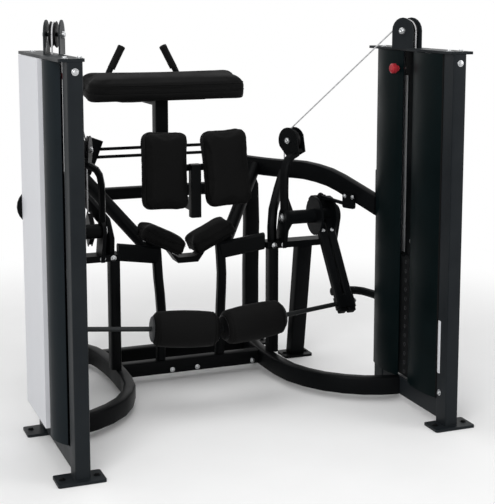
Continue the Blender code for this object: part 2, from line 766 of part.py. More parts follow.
def arch_solid(grow=0.0):
    """The arch tube; grow makes a cutter that clears it."""
    outline = rounded_outline(TUBE_WIDTH + 2 * grow, TUBE_HEIGHT + 2 * grow, TUBE_CORNER + grow)
    return sweep(tube_path(), tube_plane()[1].cross(Vector((0, 0, 1))), lambda share: outline)


def upper_tube():
    """The arch with the round flange behind the side panel, cut to the column and the rear leg."""
    far = 0.2
    column = block((COLUMN_INNER - far, REAR_COLUMN_Y - far, 0),
                   (COLUMN_OUTER + far, TOWER_DEPTH + GAP, TOWER_HEIGHT))
    flange_y = PANEL_REAR + 2 * GAP
    flange = round_bar((FLANGE_X, flange_y, FLANGE_Z), (FLANGE_X, flange_y + FLANGE_THICKNESS, FLANGE_Z),
                       FLANGE_RADIUS, 24)
    inboard = block((FLANGE_X - far, TOWER_DEPTH, 0), (TUBE_START_X, PANEL_REAR + far, TOWER_HEIGHT))
    tube = cut(arch_solid(), column, rear_leg_solid(GAP))
    return join(tube, cut(flange, inboard))


def in_block(across, along, x):
    """A point of the guide pulley's block, which leans in the plane of the cable."""
    up = CABLE_LEVEL * sin(BLOCK_LEAN) + Vector((0, 0, cos(BLOCK_LEAN)))
    back = CABLE_LEVEL * cos(BLOCK_LEAN) - Vector((0, 0, sin(BLOCK_LEAN)))
    return GUIDE_PULLEY + PULLEY_AXIS * x + up * along + back * across


def guide_block():
    """The strut over the arm's inner cheek and the rounded block that holds the guide pulley."""
    foot_high = -PULLEY_RADIUS - BLOCK_FOOT_GAP
    foot_low = foot_high - BLOCK_FOOT
    width = BLOCK_RADIUS * 0.6
    half = PULLEY_WIDTH / 2 + CHEEK_THICKNESS
    inset = BLOCK_FOOT_INSET
    foot = extrude([(inset - width, foot_low + inset), (width - inset, foot_low + inset),
                    (width - 2 * inset, foot_high), (2 * inset - width, foot_high)],
                   in_block, -half - CHEEK_THICKNESS / 2, half + CHEEK_THICKNESS / 2)
    outline = half_disc(BLOCK_RADIUS) + [(-width, foot_low), (width, foot_low)]
    cheeks = [extrude(outline, in_block, start, start + CHEEK_THICKNESS)
              for start in (-half - CHEEK_THICKNESS, half)]
    join(foot, *cheeks)
    join(foot, axle_bolt(GUIDE_PULLEY, 2 * half + 2 * CHEEK_THICKNESS))
    inner = PIVOT_X - HUB_LENGTH / 2 - 2 * RUN_CLEARANCE - POST_CHEEK / 2
    base = Vector((inner, PIVOT_Y, PIVOT_Z + HUB_RADIUS + 5 * GAP))
    tip = in_block(0, (foot_low + foot_high) / 2, 0)
    over = Vector((tip.x - base.x, tip.y - base.y, 0))
    rise = tip.z - base.z
    path = smooth_path([base, base + Vector((0, 0, rise * 0.65)),
                        base + over * 0.3 + Vector((0, 0, rise * 0.9)), tip], 2)
    outline = rounded_outline(STRUT_DEPTH, STRUT_WIDTH, STRUT_CORNER, 1)
    strut = sweep(path, over.cross(Vector((0, 0, 1))), lambda share: outline)
    return join(foot, strut)


def floor_path():
    """The floor rail's centre line from the tower rail, round to the rear leg."""
    start = COLUMN_INNER - FLOOR_TUBE_SEAT
    turn = start - FLOOR_TUBE_X
    y, run = FLOOR_TUBE_Y, REAR_LEG_Y - FLOOR_TUBE_Y
    points = [(start + FLOOR_TUBE_STUB, y), (start, y), (start - turn * 0.35, y + run * 0.04),
              (start - turn * 0.72, y + run * 0.15), (start - turn * 0.95, y + run * 0.32),
              (FLOOR_TUBE_X, y + run * 0.52), (FLOOR_TUBE_X + REAR_EASE, y + run * 0.72),
              (FLOOR_TUBE_X + REAR_BEND, y + run * 0.88), (REAR_LEG_X - REAR_INSET, REAR_LEG_Y - REAR_INSET)]
    return smooth_path([(x, y, FLOOR_TUBE_Z) for x, y in points], 2)


def floor_tube_solid(grow=0.0):
    outline = rounded_outline(FLOOR_TUBE_HEIGHT + 2 * grow, FLOOR_TUBE_WIDTH + 2 * grow, TUBE_CORNER + grow)
    return sweep(floor_path(), (0, 0, 1), lambda share: outline)


def floor_tube():
    """The floor rail, squared off at the tower rail and at the rear leg."""
    tower = block((COLUMN_INNER + WELD_DEPTH - GAP, 0, 0), (COLUMN_OUTER, TOWER_DEPTH, TOWER_HEIGHT))
    leg = rear_leg_solid(GAP)
    return cut(floor_tube_solid(), tower, leg)


def cross_beam(y):
    """A floor beam between both floor rails, cut to their sides."""
    bottom = FLOOR_TUBE_Z - BEAM_HEIGHT / 2
    half = FLOOR_TUBE_X
    outline = rounded_outline(BEAM_DEPTH, BEAM_HEIGHT, TUBE_CORNER)
    beam = extrude(outline, lambda a, b, x: (x, y + a, bottom + BEAM_HEIGHT / 2 + b), -half, half)
    rails = [floor_tube_solid(GAP) for _ in range(2)]
    mirror_x(rails[1])
    return cut(beam, *rails)


def mirror_x(obj):
    """Mirror a solid to the left half."""
    obj.data.transform(Matrix.Scale(-1, 4, (1, 0, 0)))
    obj.data.flip_normals()
    return obj


# Swing arm

def in_arm(x, along, across, lean=ARM_LEAN):
    """A point of the arm: along runs down the arm from the pivot, across to its rear."""
    down = Vector((0, -sin(lean), -cos(lean)))
    back = Vector((0, cos(lean), -sin(lean)))
    return Vector((x, PIVOT_Y, PIVOT_Z)) + down * along + back * across


def roller_axis():
    """Outward direction of the roller's axle, swept back and raised at its outer end."""
    level = cos(ROLLER_RISE)
    return Vector((cos(ROLLER_SWEEP) * level, sin(ROLLER_SWEEP) * level, sin(ROLLER_RISE)))


def roller_point(x):
    """The point of the roller's axis at one X."""
    seat = in_arm(ARM_X, ARM_LENGTH, 0)
    axis = roller_axis()
    return seat + axis * ((x - ARM_X) / axis.x)


def swing_arm():
    """Hub and shaft, cam, two parallel arm tubes and the axle rod of the roller."""
    pair = ARM_TUBE_SPACING + ARM_TUBE
    arm = arm_hub()
    outline = rounded_outline(ARM_TUBE, ARM_TUBE, ARM_TUBE_CORNER, 1)
    for x in (ARM_X - ARM_TUBE_SPACING / 2, ARM_X + ARM_TUBE_SPACING / 2):
        join(arm, extrude(outline, lambda a, b, s: in_arm(x + a, s, b), -ARM_HEAD, ARM_LENGTH + ARM_TAIL))
    clamp = extrude(rounded_outline(pair + CLAMP_WALL, ARM_TUBE + 2 * CLAMP_WALL, CLAMP_WALL, 1),
                    lambda a, b, s: in_arm(ARM_X + a, s, b),
                    ARM_LENGTH - CLAMP_HALF, ARM_LENGTH + CLAMP_HALF)
    bridge = extrude(rounded_outline(pair - BRIDGE_INSET, ARM_TUBE * 0.5, CLAMP_WALL, 1),
                     lambda a, b, s: in_arm(ARM_X + a, s, b), ARM_LENGTH * 0.28, ARM_LENGTH * 0.36)
    end = ROLLER_INNER_X - 2 * ROLLER_CAP_THICKNESS
    cap = ROLLER_INNER_X - ROLLER_CAP_THICKNESS - 2 * RUN_CLEARANCE
    rod = round_bar(roller_point(end + AXLE_INSET), roller_point(ARM_X + pair / 2 + AXLE_TAIL),
                    AXLE_ROD_RADIUS, 10)
    nut = round_bar(roller_point(end), roller_point(cap), AXLE_ROD_RADIUS * 1.6, 10)
    join(arm, clamp, bridge)
    join(arm, rod)
    return join(arm, nut)


def arm_hub():
    """The pivot shaft with its hub, the arm's two round plates and the grooved cam."""
    start, end = PIVOT_X - HUB_LENGTH / 2, PIVOT_X + HUB_LENGTH / 2
    inner = start - POST_CHEEK - 4 * RUN_CLEARANCE
    outer = end + POST_CHEEK + 4 * RUN_CLEARANCE
    shaft, head = SHAFT_RADIUS, SHAFT_HEAD_RADIUS
    profile = [(head, inner - BOLT_HEAD_LENGTH), (head, inner), (shaft, inner), (shaft, start),
               (HUB_RADIUS, start), (HUB_RADIUS, end), (shaft, end), (shaft, outer), (head, outer),
               (head, outer + BOLT_HEAD_LENGTH)]
    hub = turned_solid(profile, 12, (0, PIVOT_Y, PIVOT_Z), (1, 0, 0))
    half = (ARM_TUBE_SPACING + ARM_TUBE) / 2 + DISC_STAND_OFF
    for low in (-half, half - DISC_THICKNESS):
        plate = turned_solid([(DISC_RADIUS, low), (DISC_RADIUS, low + DISC_THICKNESS)], 20,
                             (ARM_X, PIVOT_Y, PIVOT_Z), (1, 0, 0))
        join(hub, plate)
    lip, rim = CAM_WIDTH / 2, CAM_LINE + CAM_LIP
    for radius, low, high in ((CAM_LINE - CABLE_RADIUS - 4 * GAP, -lip * 0.9, lip * 0.9),
                              (rim, -lip, -CAM_GROOVE / 2), (rim, CAM_GROOVE / 2, lip)):
        arc = [(radius * cos(CAM_SPAN * i / 6), radius * sin(CAM_SPAN * i / 6)) for i in range(-6, 7)]
        sector = extrude(arc + [(-HUB_RADIUS * 0.5, 0)],
                         lambda a, b, x: (CAM_X + x, PIVOT_Y + a, PIVOT_Z + b), low, high)
        join(hub, sector)
    return hub


def roller_core():
    """The roller's steel sleeve with a round cap at each end."""
    length = ROLLER_LENGTH
    cap = ROLLER_CAP_THICKNESS
    bore = AXLE_ROD_RADIUS + RUN_CLEARANCE
    face = ROLLER_CAP_RADIUS - ROLLER_CAP_CHAMFER
    profile = [(bore, -cap), (face, -cap), (ROLLER_CAP_RADIUS, -cap * 0.4),
               (ROLLER_CAP_RADIUS, 0), (ROLLER_CORE_RADIUS, 0), (ROLLER_CORE_RADIUS, length),
               (ROLLER_CAP_RADIUS, length), (ROLLER_CAP_RADIUS, length + cap * 0.4),
               (face, length + cap), (bore, length + cap)]
    return turned_ring(profile, 16, roller_point(ROLLER_INNER_X), roller_axis())


def roller_pad():
    """The foam sleeve: crowned along its length, with soft rounded ends."""
    bore = ROLLER_CORE_RADIUS + GAP
    length = ROLLER_LENGTH - 2 * GAP
    edge = ROLLER_EDGE
    crown = [(ROLLER_RADIUS - ROLLER_CROWN * (2 * i / 4 - 1) ** 2, edge + (length - 2 * edge) * i / 4)
             for i in range(5)]
    rim = ROLLER_RADIUS - ROLLER_CROWN
    start = [(bore, 0), (rim - edge, 0), (rim - edge * 0.3, edge * 0.3)]
    end = [(r, length - h) for r, h in reversed(start)]
    return turned_ring(start + crown + end, 20, roller_point(ROLLER_INNER_X) + roller_axis() * GAP,
                       roller_axis())


# Supports of the swing arm

def pivot_post():
    """Upright, saddle and leaning post with the arm's two cheeks and the guide pulley's strut."""
    inner = PIVOT_X - HUB_LENGTH / 2 - 2 * RUN_CLEARANCE - POST_CHEEK
    outer = PIVOT_X + HUB_LENGTH / 2 + 2 * RUN_CLEARANCE
    saddle_end = outer + POST_CHEEK + SADDLE_LIP
    saddle = upright_bar(((SADDLE_START + saddle_end) / 2, SADDLE_Y), saddle_end - SADDLE_START,
                         SADDLE_DEPTH, SADDLE_Z, SADDLE_Z + SADDLE_THICKNESS, SADDLE_CORNER)
    upright = upright_bar((UPRIGHT_X, UPRIGHT_Y), UPRIGHT_WIDTH, UPRIGHT_DEPTH, FLOOR_TUBE_TOP + GAP,
                          SADDLE_Z + WELD_DEPTH, TUBE_CORNER)
    outline = rounded_outline(POST_WIDTH, POST_DEPTH, TUBE_CORNER)
    post = loft([[(x + a, y + b, z) for a, b in outline]
                 for x, y, z in ((POST_X, POST_Y, FOOT_THICKNESS - WELD_DEPTH),
                                 (POST_TOP_X, SADDLE_Y, SADDLE_Z + 2 * WELD_DEPTH))])
    foot = upright_bar((POST_X, POST_Y), POST_FOOT_LENGTH, POST_FOOT_DEPTH, 0, FOOT_THICKNESS, TUBE_CORNER)
    join(saddle, upright, post)
    join(saddle, foot, *[pivot_cheek(start) for start in (inner, outer)])
    join(saddle, hanger())
    join(saddle, guide_block())
    bore = round_bar((inner - POST_CHEEK, PIVOT_Y, PIVOT_Z), (saddle_end + POST_CHEEK, PIVOT_Y, PIVOT_Z),
                     SHAFT_RADIUS + RUN_CLEARANCE, 12)
    return cut(saddle, bore)


def hanger():
    """The tube from the saddle up to the underside of the arch."""
    low = Vector((UPRIGHT_X + HANGER_SHIFT, SADDLE_Y + HANGER_SET_BACK, SADDLE_Z + SADDLE_THICKNESS / 2))
    high = in_tube_plane(HANGER_ALONG, TUBE_CREST_Z - TUBE_HEIGHT / 4)
    over = Vector((high.x - low.x, high.y - low.y, 0))
    path = smooth_path([low, low + over * 0.08 + Vector((0, 0, (high.z - low.z) * 0.5)), high], 2)
    outline = rounded_outline(HANGER_WIDTH, HANGER_DEPTH, TUBE_CORNER)
    return cut(sweep(path, over.cross(Vector((0, 0, 1))), lambda share: outline), arch_solid(GAP))


def pivot_cheek(start):
    """A leaning cheek from the saddle up to the pivot."""
    radius = HUB_RADIUS + POST_CHEEK_WALL
    lean = atan2(SADDLE_Y - PIVOT_Y, PIVOT_Z - SADDLE_Z)
    reach = hypot(SADDLE_Y - PIVOT_Y, PIVOT_Z - SADDLE_Z - SADDLE_THICKNESS / 2)
    up, back = Vector((0, -sin(lean), cos(lean))), Vector((0, cos(lean), sin(lean)))
    return extrude(half_disc(radius) + [(-radius, -reach), (radius, -reach)],
                   lambda a, b, x: Vector((x, PIVOT_Y, PIVOT_Z)) + back * a + up * b,
                   start, start + POST_CHEEK)


def stop_bar():
    """The bent bar from the rear column whose rubber bumper the resting arm leans on."""
    along = (PIVOT_Z - STOP_Z) / cos(ARM_LEAN)
    touch = in_arm(ARM_X, along, ARM_TUBE / 2 + GAP)
    seat = in_arm(ARM_X, along, ARM_TUBE / 2 + GAP + BUMPER_LENGTH)
    tail = in_arm(ARM_X, along, ARM_TUBE / 2 + GAP + BUMPER_LENGTH + STOP_RADIUS)
    points = [(TOWER_X, TOWER_DEPTH - STOP_STUB), (TOWER_X, TOWER_DEPTH + STOP_LEAD),
              (TOWER_X - STOP_BEND_X, tail.y - STOP_BEND_Y), (TOWER_X - STOP_TURN, tail.y),
              (ARM_X - STOP_RADIUS, tail.y)]
    path = smooth_path([(x, y, tail.z) for x, y in points], 2)
    outline = circle_outline(STOP_RADIUS, 10)
    bar = sweep(path, (0, 0, 1), lambda share: outline)
    bumper = round_bar(touch, seat, BUMPER_RADIUS, 16)
    neck = round_bar(touch.lerp(seat, 0.6), tail, STOP_RADIUS * 0.7, 12)
    join(bar, neck)
    join(bar, bumper)
    column = block((COLUMN_INNER - CUT_MARGIN, 0, 0),
                   (COLUMN_OUTER + CUT_MARGIN, TOWER_DEPTH + GAP, TOWER_HEIGHT))
    return cut(bar, column)


def range_stop():
    """The bracket and rod under the upper tube whose bumper the resting arm's head leans on."""
    level = tube_plane()[1]
    out = level.cross(Vector((0, 0, 1)))
    face = in_tube_plane(RANGE_ALONG, RANGE_Z) - out * (TUBE_WIDTH / 2 + GAP)
    plate = extrude(rounded_outline(RANGE_PLATE_LENGTH, RANGE_PLATE_HEIGHT, RANGE_PLATE_CORNER),
                    lambda a, b, s: face + level * a + Vector((0, 0, b + RANGE_PLATE_RISE)) - out * s,
                    0, RANGE_PLATE_THICKNESS)
    touch = in_arm(ARM_X, -0.85 * ARM_HEAD, -ARM_TUBE / 2 - GAP)
    seat = in_arm(ARM_X, -0.85 * ARM_HEAD, -ARM_TUBE / 2 - GAP - BUMPER_LENGTH)
    rod = round_bar(face - out * RANGE_PLATE_THICKNESS / 2, seat.lerp(touch, 0.3), RANGE_ROD_RADIUS, 10)
    bumper = round_bar(touch, seat, BUMPER_RADIUS * 0.7, 12)
    join(plate, rod)
    return join(plate, bumper)


# Rear stand

def rear_leg_solid(grow=0.0):
    outline = rounded_outline(REAR_LEG_WIDTH + 2 * grow, REAR_LEG_DEPTH + 2 * grow, TUBE_CORNER + grow)
    bend = REAR_LEG_TOP_Z - REAR_BAR_Z
    points = [(REAR_LEG_X, FOOT_THICKNESS - WELD_DEPTH), (REAR_LEG_X, REAR_BAR_Z * 0.5),
              (REAR_LEG_X, REAR_BAR_Z),
              (REAR_LEG_X - (REAR_LEG_X - REAR_LEG_TOP_X) * 0.55, REAR_BAR_Z + bend * 0.45),
              (REAR_LEG_TOP_X, REAR_LEG_TOP_Z)]
    path = smooth_path([(x, REAR_LEG_Y, z) for x, z in points], 2)
    return sweep(path, (0, 1, 0), lambda share: [(b, a) for a, b in outline])


def rear_leg():
    """A rear leg, bowed inward at the top, on its foot plate."""
    foot = upright_bar((REAR_LEG_X, REAR_LEG_Y), FOOT_LENGTH, FOOT_DEPTH, 0, FOOT_THICKNESS, TUBE_CORNER)
    return join(rear_leg_solid(), foot)


def between_legs(obj):
    """Cut a cross piece to the inner sides of both rear legs."""
    legs = [rear_leg_solid(GAP) for _ in range(2)]
    mirror_x(legs[1])
    return cut(obj, *legs)


def rear_bar():
    """The bar between the rear legs that carries the arm pad's post."""
    outline = rounded_outline(REAR_BAR_SIZE, REAR_BAR_SIZE, TUBE_CORNER)
    bar = extrude(outline, lambda a, b, x: (x, REAR_LEG_Y + a, REAR_BAR_Z + b), -REAR_LEG_X, REAR_LEG_X)
    return between_legs(bar)


def cross_rod(z):
    """A thin round rod between the tops of the rear legs."""
    half = REAR_LEG_TOP_X + CROSS_ROD_TAIL
    return between_legs(round_bar((-half, CROSS_ROD_Y, z), (half, CROSS_ROD_Y, z), CROSS_ROD_RADIUS, 12))


def arm_pad_post():
    """The square post from the rear bar up to a bearer plate under the arm pad."""
    y = PAD_POST_FRONT + PAD_POST_SIZE / 2
    bottom = REAR_BAR_Z + REAR_BAR_SIZE / 2 + GAP
    top = ARM_PAD_Z + (y - ARM_PAD_Y) * sin(ARM_PAD_TILT)
    post = upright_bar((0, y), PAD_POST_SIZE, PAD_POST_SIZE, bottom, top, COLUMN_CORNER)
    tilt = Matrix.Rotation(ARM_PAD_TILT, 3, 'X')
    seat = Vector((0, ARM_PAD_Y, ARM_PAD_Z))
    width, depth = ARM_PAD_WIDTH * 0.5, ARM_PAD_DEPTH * 0.7
    outline = rounded_outline(width, depth, BEARER_CORNER)

    def on_bearer(a, b, z):
        return seat + tilt @ Vector((a, b, z))
    bearer = extrude(outline, on_bearer, -FOOT_THICKNESS / 2, 0)
    above = extrude(outline, on_bearer, 0, CUT_MARGIN)
    join(post, bearer)
    return cut(post, above)


def handlebar():
    """The handle frame behind the arm pad: a stem, a cross tube and two grips leaning inward."""
    seat = PAD_POST_FRONT + PAD_POST_SIZE + GAP
    outline = circle_outline(HANDLE_RADIUS, 10)
    half = [(0, HANDLE_Z), (HANDLE_SPREAD * 0.55, HANDLE_Z), (HANDLE_SPREAD * 0.92, HANDLE_Z + HANDLE_BEND),
            (HANDLE_SPREAD, HANDLE_Z + HANDLE_TURN), (HANDLE_SPREAD * 0.88, HANDLE_Z + HANDLE_LEAN),
            (GRIP_TOP_X, GRIP_TOP_Z)]
    points = [(-x, HANDLE_Y, z) for x, z in reversed(half[1:])] + [(x, HANDLE_Y, z) for x, z in half]
    bar = sweep(smooth_path(points, 2), (0, 1, 0), lambda share: outline)
    stem = round_bar((0, seat, HANDLE_Z), (0, HANDLE_Y, HANDLE_Z), HANDLE_RADIUS * 1.1, 12)
    flange = round_bar((0, seat, HANDLE_Z), (0, seat + HANDLE_FLANGE, HANDLE_Z), PAD_POST_SIZE * 0.38, 16)
    join(bar, stem)
    return join(bar, flange)


# Pads

def cushion(width, height, thickness, place, corner=PAD_CORNER):
    """A pad on its flat back: sides drawn in between the corners, soft edge and crowned face."""
    rings = []
    for share, inset in PAD_SECTION:
        reach = min(inset, min(width, height) * 0.4)
        outline = drawn_outline(width - 2 * reach, height - 2 * reach,
                                max(corner - reach * 0.5, PAD_LEAST_CORNER))
        rings.append([place(a, b, thickness * share) for a, b in outline])
    return loft(rings)


def drawn_outline(width, height, corner):
    """A round-cornered outline whose four sides bow inward, as a sewn cover draws them in."""
    steps = 3
    arcs = rounded_outline(width, height, corner, steps)
    points = []
    for i, (a0, b0) in enumerate(arcs):
        points.append((a0, b0))
        if i % (steps + 1) == steps:
            a1, b1 = arcs[(i + 1) % len(arcs)]
            inward = Vector((-(a0 + a1), -(b0 + b1))).normalized()
            for share in (0.25, 0.5, 0.75):
                pull = PAD_DRAW_IN * (1 - (2 * share - 1) ** 2)
                points.append((a0 + (a1 - a0) * share + inward.x * pull,
                               b0 + (b1 - b0) * share + inward.y * pull))
    return points


def torso_frame():
    """Place and directions of the right torso pad: its width, its height and its front."""
    turn = (Matrix.Rotation(-TORSO_PAD_TOE, 3, 'Z') @ Matrix.Rotation(TORSO_PAD_ROLL, 3, 'Y')
            @ Matrix.Rotation(-TORSO_PAD_LEAN, 3, 'X'))
    return Vector((TORSO_PAD_X, TORSO_PAD_Y, TORSO_PAD_Z)), turn


def torso_pad():
    centre, turn = torso_frame()
    back = TORSO_PAD_THICKNESS / 2
    return cushion(TORSO_PAD_WIDTH, TORSO_PAD_HEIGHT, TORSO_PAD_THICKNESS,
                   lambda a, b, depth: centre + turn @ Vector((a, back - depth, b)))


def arm_pad():
    tilt = Matrix.Rotation(ARM_PAD_TILT, 3, 'X')
    seat = Vector((0, ARM_PAD_Y, ARM_PAD_Z))
    return cushion(ARM_PAD_WIDTH, ARM_PAD_DEPTH, ARM_PAD_THICKNESS,
                   lambda a, b, z: seat + tilt @ Vector((a, b, z + GAP)))


def wing_place(a, b, height):
    """A point over the right seat wing's underside: a runs up the slope from the centre."""
    up_slope = Vector((cos(SEAT_SLOPE), 0, sin(SEAT_SLOPE)))
    out = Vector((-sin(SEAT_SLOPE), 0, cos(SEAT_SLOPE)))
    inner = WING_THICKNESS * sin(SEAT_SLOPE) + 2 * GAP
    return Vector((inner, SEAT_Y, SEAT_Z)) + up_slope * a + Vector((0, b, 0)) + out * height


def seat_wing():
    middle = WING_LENGTH / 2
    return cushion(WING_LENGTH, WING_DEPTH, WING_THICKNESS,
                   lambda a, b, height: wing_place(middle + a, b, height + GAP), WING_CORNER)


def seat_half():
    """The right half of the seat frame: bearer plate, leg, side arm and the brace to the arch."""
    plate = extrude(rounded_outline(WING_LENGTH * 0.86, WING_DEPTH * 0.7, WING_PLATE_CORNER),
                    lambda a, b, s: wing_place(WING_LENGTH * 0.5 + a, b, s), -WING_PLATE, 0)
    top = wing_place(WING_LENGTH * 0.60, -SEAT_LEG_FORWARD, 0)
    beam_top = FLOOR_TUBE_Z + BEAM_HEIGHT / 2 + GAP
    knee = (SEAT_LEG_X + SEAT_LEG_BOW, FRONT_BEAM_Y - SEAT_LEG_BOW, top.z - SEAT_LEG_KNEE)
    shin = (SEAT_LEG_X, FRONT_BEAM_Y - SEAT_LEG_SET, (top.z + beam_top) / 2 - SEAT_LEG_SAG)
    foot = (SEAT_LEG_X, FRONT_BEAM_Y, beam_top - SEAT_LEG_SET)
    leg_path = smooth_path([top, knee, shin, foot], 2)
    outline = rounded_outline(SEAT_LEG_SIZE, SEAT_LEG_SIZE, COLUMN_CORNER, 1)
    leg = sweep(leg_path, (1, 0, 0), lambda share: outline)
    floor = block((0, FRONT_BEAM_Y - CUT_MARGIN, beam_top - BEAM_HEIGHT),
                  (FLOOR_TUBE_X, FRONT_BEAM_Y + CUT_MARGIN, beam_top))
    out = tube_plane()[1].cross(Vector((0, 0, 1)))
    far_end = in_tube_plane(tube_plane()[2] * SEAT_BRACE_SHARE, TUBE_END_Z) - out * TUBE_WIDTH * 0.45
    near_end = top + Vector((SEAT_BRACE_SHIFT, 0, -SEAT_BRACE_DROP))
    brace = round_bar(near_end, far_end, SEAT_BRACE_RADIUS, 12)
    brace = cut(brace, arch_solid(GAP), above_wing())
    start = Vector((top.x, FRONT_BEAM_Y, top.z - SIDE_ARM_DROP))
    end = Vector((SADDLE_START + SIDE_ARM_REACH, SADDLE_Y, SADDLE_Z + SIDE_ARM_HEIGHT / 2))
    outline = rounded_outline(SEAT_LEG_SIZE * 0.9, SIDE_ARM_HEIGHT, SIDE_ARM_CORNER, 1)
    side_arm = sweep([start, end], (end - start).cross(Vector((0, 0, 1))), lambda share: outline)
    saddle = block((SADDLE_START - GAP, PIVOT_Y - CUT_MARGIN, 0), (ARM_X, SEAT_Y, PIVOT_Z))
    join(plate, cut(leg, floor, above_wing()))
    join(plate, brace)
    return join(plate, cut(side_arm, saddle, above_wing()))


def above_wing():
    """The cutter that keeps the frame out of the room over the right wing's bearer plate."""
    edge = WING_MARGIN
    return extrude(rounded_outline(WING_LENGTH + 2 * edge, WING_DEPTH + 2 * edge, edge, 1),
                   lambda a, b, s: wing_place(WING_LENGTH * 0.5 + a, b, s),
                   -WING_PLATE / 2, 2 * WING_THICKNESS)


def pad_bracket():
    """The plate behind the right torso pad, with the boss that meets the tie bar."""
    centre, turn = torso_frame()
    back = TORSO_PAD_THICKNESS / 2 + GAP
    plate = extrude(rounded_outline(TORSO_PAD_WIDTH * 0.6, TORSO_PAD_HEIGHT * 0.6, BEARER_CORNER),
                    lambda a, b, s: centre + turn @ Vector((a, back + s, b)), 0, WING_PLATE)
    root = centre + turn @ Vector((0, back + WING_PLATE / 2, 0))
    boss = round_bar(root, (root.x, TIE_Y, root.z), TIE_RADIUS * 1.2, 12)
    return join(plate, boss)


def seat_frame():
    """The welded seat stand: two sloping wing bearers on their legs, tied under the middle."""
    bottom, top = SEAT_Z - SEAT_BLOCK_DEPTH, SEAT_Z - SEAT_BLOCK_SINK
    half = SEAT_BLOCK_HALF
    reach = wing_place(WING_LENGTH * 0.3, 0, -WING_PLATE / 2)
    frame = extrude([(-reach.x, reach.z), (-half, bottom), (half, bottom), (reach.x, reach.z),
                     (half, top), (-half, top)],
                    lambda x, z, y: (x, SEAT_Y + y, z), -WING_DEPTH * 0.25, WING_DEPTH * 0.25)
    join(frame, seat_half())
    return join(frame, mirror_x(seat_half()))


def torso_post():
    """The post of the torso pads on its boom from the rear bar, with the tie bar and pad plates."""
    size = TORSO_POST_SIZE
    post = upright_bar((0, TORSO_POST_Y), size, size, TORSO_POST_BOTTOM, TORSO_POST_TOP, COLUMN_CORNER)
    outline = rounded_outline(size - BOOM_INSET, size - BOOM_INSET, COLUMN_CORNER)
    boom = extrude(outline, lambda a, b, y: (a, y, REAR_BAR_Z + b), TORSO_POST_Y,
                   REAR_LEG_Y - REAR_BAR_SIZE / 2 - GAP)
    tie_half = TORSO_PAD_X + TIE_RADIUS
    tie = round_bar((-tie_half, TIE_Y, TORSO_PAD_Z), (tie_half, TIE_Y, TORSO_PAD_Z), TIE_RADIUS, 12)
    for piece in (boom, tie, pad_bracket(), mirror_x(pad_bracket())):
        join(post, piece)
    return post


def build_side(side, machine):
    """All the pieces of one half, with the parent empties of its joints."""
    name = "right" if side > 0 else "left"

    def axis_at(joint, x, y, z, parent=machine):
        return empty(f"{name}_{joint}_axis", (side * x, y, z), parent)

    fixed = ((tower_frame, BLACK_PAINT), (top_plate, BLACK_PAINT), (outer_panel, WHITE_PANEL),
             (outer_shroud, TEAL_COVER), (inner_shroud_front, TEAL_COVER), (inner_shroud_rear, TEAL_COVER),
             (guide_rods, CHROME), (weight_stack, IRON), (cable_drop, CABLE_GREY), (cable_run, CABLE_GREY),
             (upper_tube, BLACK_PAINT), (floor_tube, BLACK_PAINT), (pivot_post, BLACK_PAINT),
             (stop_bar, BLACK_PAINT), (range_stop, BLACK_PAINT), (rear_leg, BLACK_PAINT), (torso_pad, VINYL),
             (seat_wing, VINYL))
    for make, look in fixed:
        finish(make(), f"{name}_{make.__name__}", look, machine, side)
    stack = axis_at("stack", TOWER_X, STACK_Y, STACK_BOTTOM)
    finish(lifted_plates(), f"{name}_lifted_plates", IRON, machine, side, stack)
    pin = axis_at("pin", COLUMN_INNER, KNOB_Y, KNOB_Z)
    finish(selector_pin(), f"{name}_selector_pin", RED_KNOB, machine, side, pin)
    top = axis_at("top_pulley", *TOP_PULLEY)
    finish(pulley(TOP_PULLEY), f"{name}_top_pulley", NYLON, machine, side, top)
    arm = axis_at("arm", PIVOT_X, PIVOT_Y, PIVOT_Z)
    finish(swing_arm(), f"{name}_swing_arm", BLACK_PAINT, machine, side, arm)
    guide = axis_at("guide_pulley", *GUIDE_PULLEY)
    finish(pulley(GUIDE_PULLEY), f"{name}_guide_pulley", NYLON, machine, side, guide)
    roller = axis_at("roller", *roller_point(ROLLER_INNER_X))
    finish(roller_core(), f"{name}_roller_core", GREY_CAP, machine, side, roller)
    finish(roller_pad(), f"{name}_roller_pad", VINYL, machine, side, roller)


def build_centre(machine):
    """The pieces on the centre plane."""
    finish(cross_beam(FRONT_BEAM_Y), "front_cross_beam", BLACK_PAINT, machine)
    finish(cross_beam(REAR_BEAM_Y), "rear_cross_beam", BLACK_PAINT, machine)
    finish(rear_bar(), "rear_bar", BLACK_PAINT, machine)
    finish(cross_rod(UPPER_ROD_Z), "upper_cross_rod", BLACK_PAINT, machine)
    finish(cross_rod(LOWER_ROD_Z), "lower_cross_rod", BLACK_PAINT, machine)
    finish(arm_pad_post(), "arm_pad_post", BLACK_PAINT, machine)
    finish(arm_pad(), "arm_pad", VINYL, machine)
    finish(handlebar(), "handlebar", BLACK_PAINT, machine)
    finish(seat_frame(), "seat_frame", BLACK_PAINT, machine)
    finish(torso_post(), "torso_post", BLACK_PAINT, machine)


def main():
    clear_scene()
    machine = empty("machine", (0, -CENTRE_Y, 0))
    for side in (1, -1):
        build_side(side, machine)
    build_centre(machine)


main()
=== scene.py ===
"""Looks of the hip machine: finishes, upholstered pads, cables, bolts, grips and the studio.

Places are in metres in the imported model's frame: X across, +Y the way the user faces, +Z up.
They describe the right half, and side_point mirrors them for the left.
"""
from math import cos, pi, radians, sin

import bmesh
import bpy
from mathutils import Matrix, Vector
from mathutils.bvhtree import BVHTree
from mathutils.kdtree import KDTree

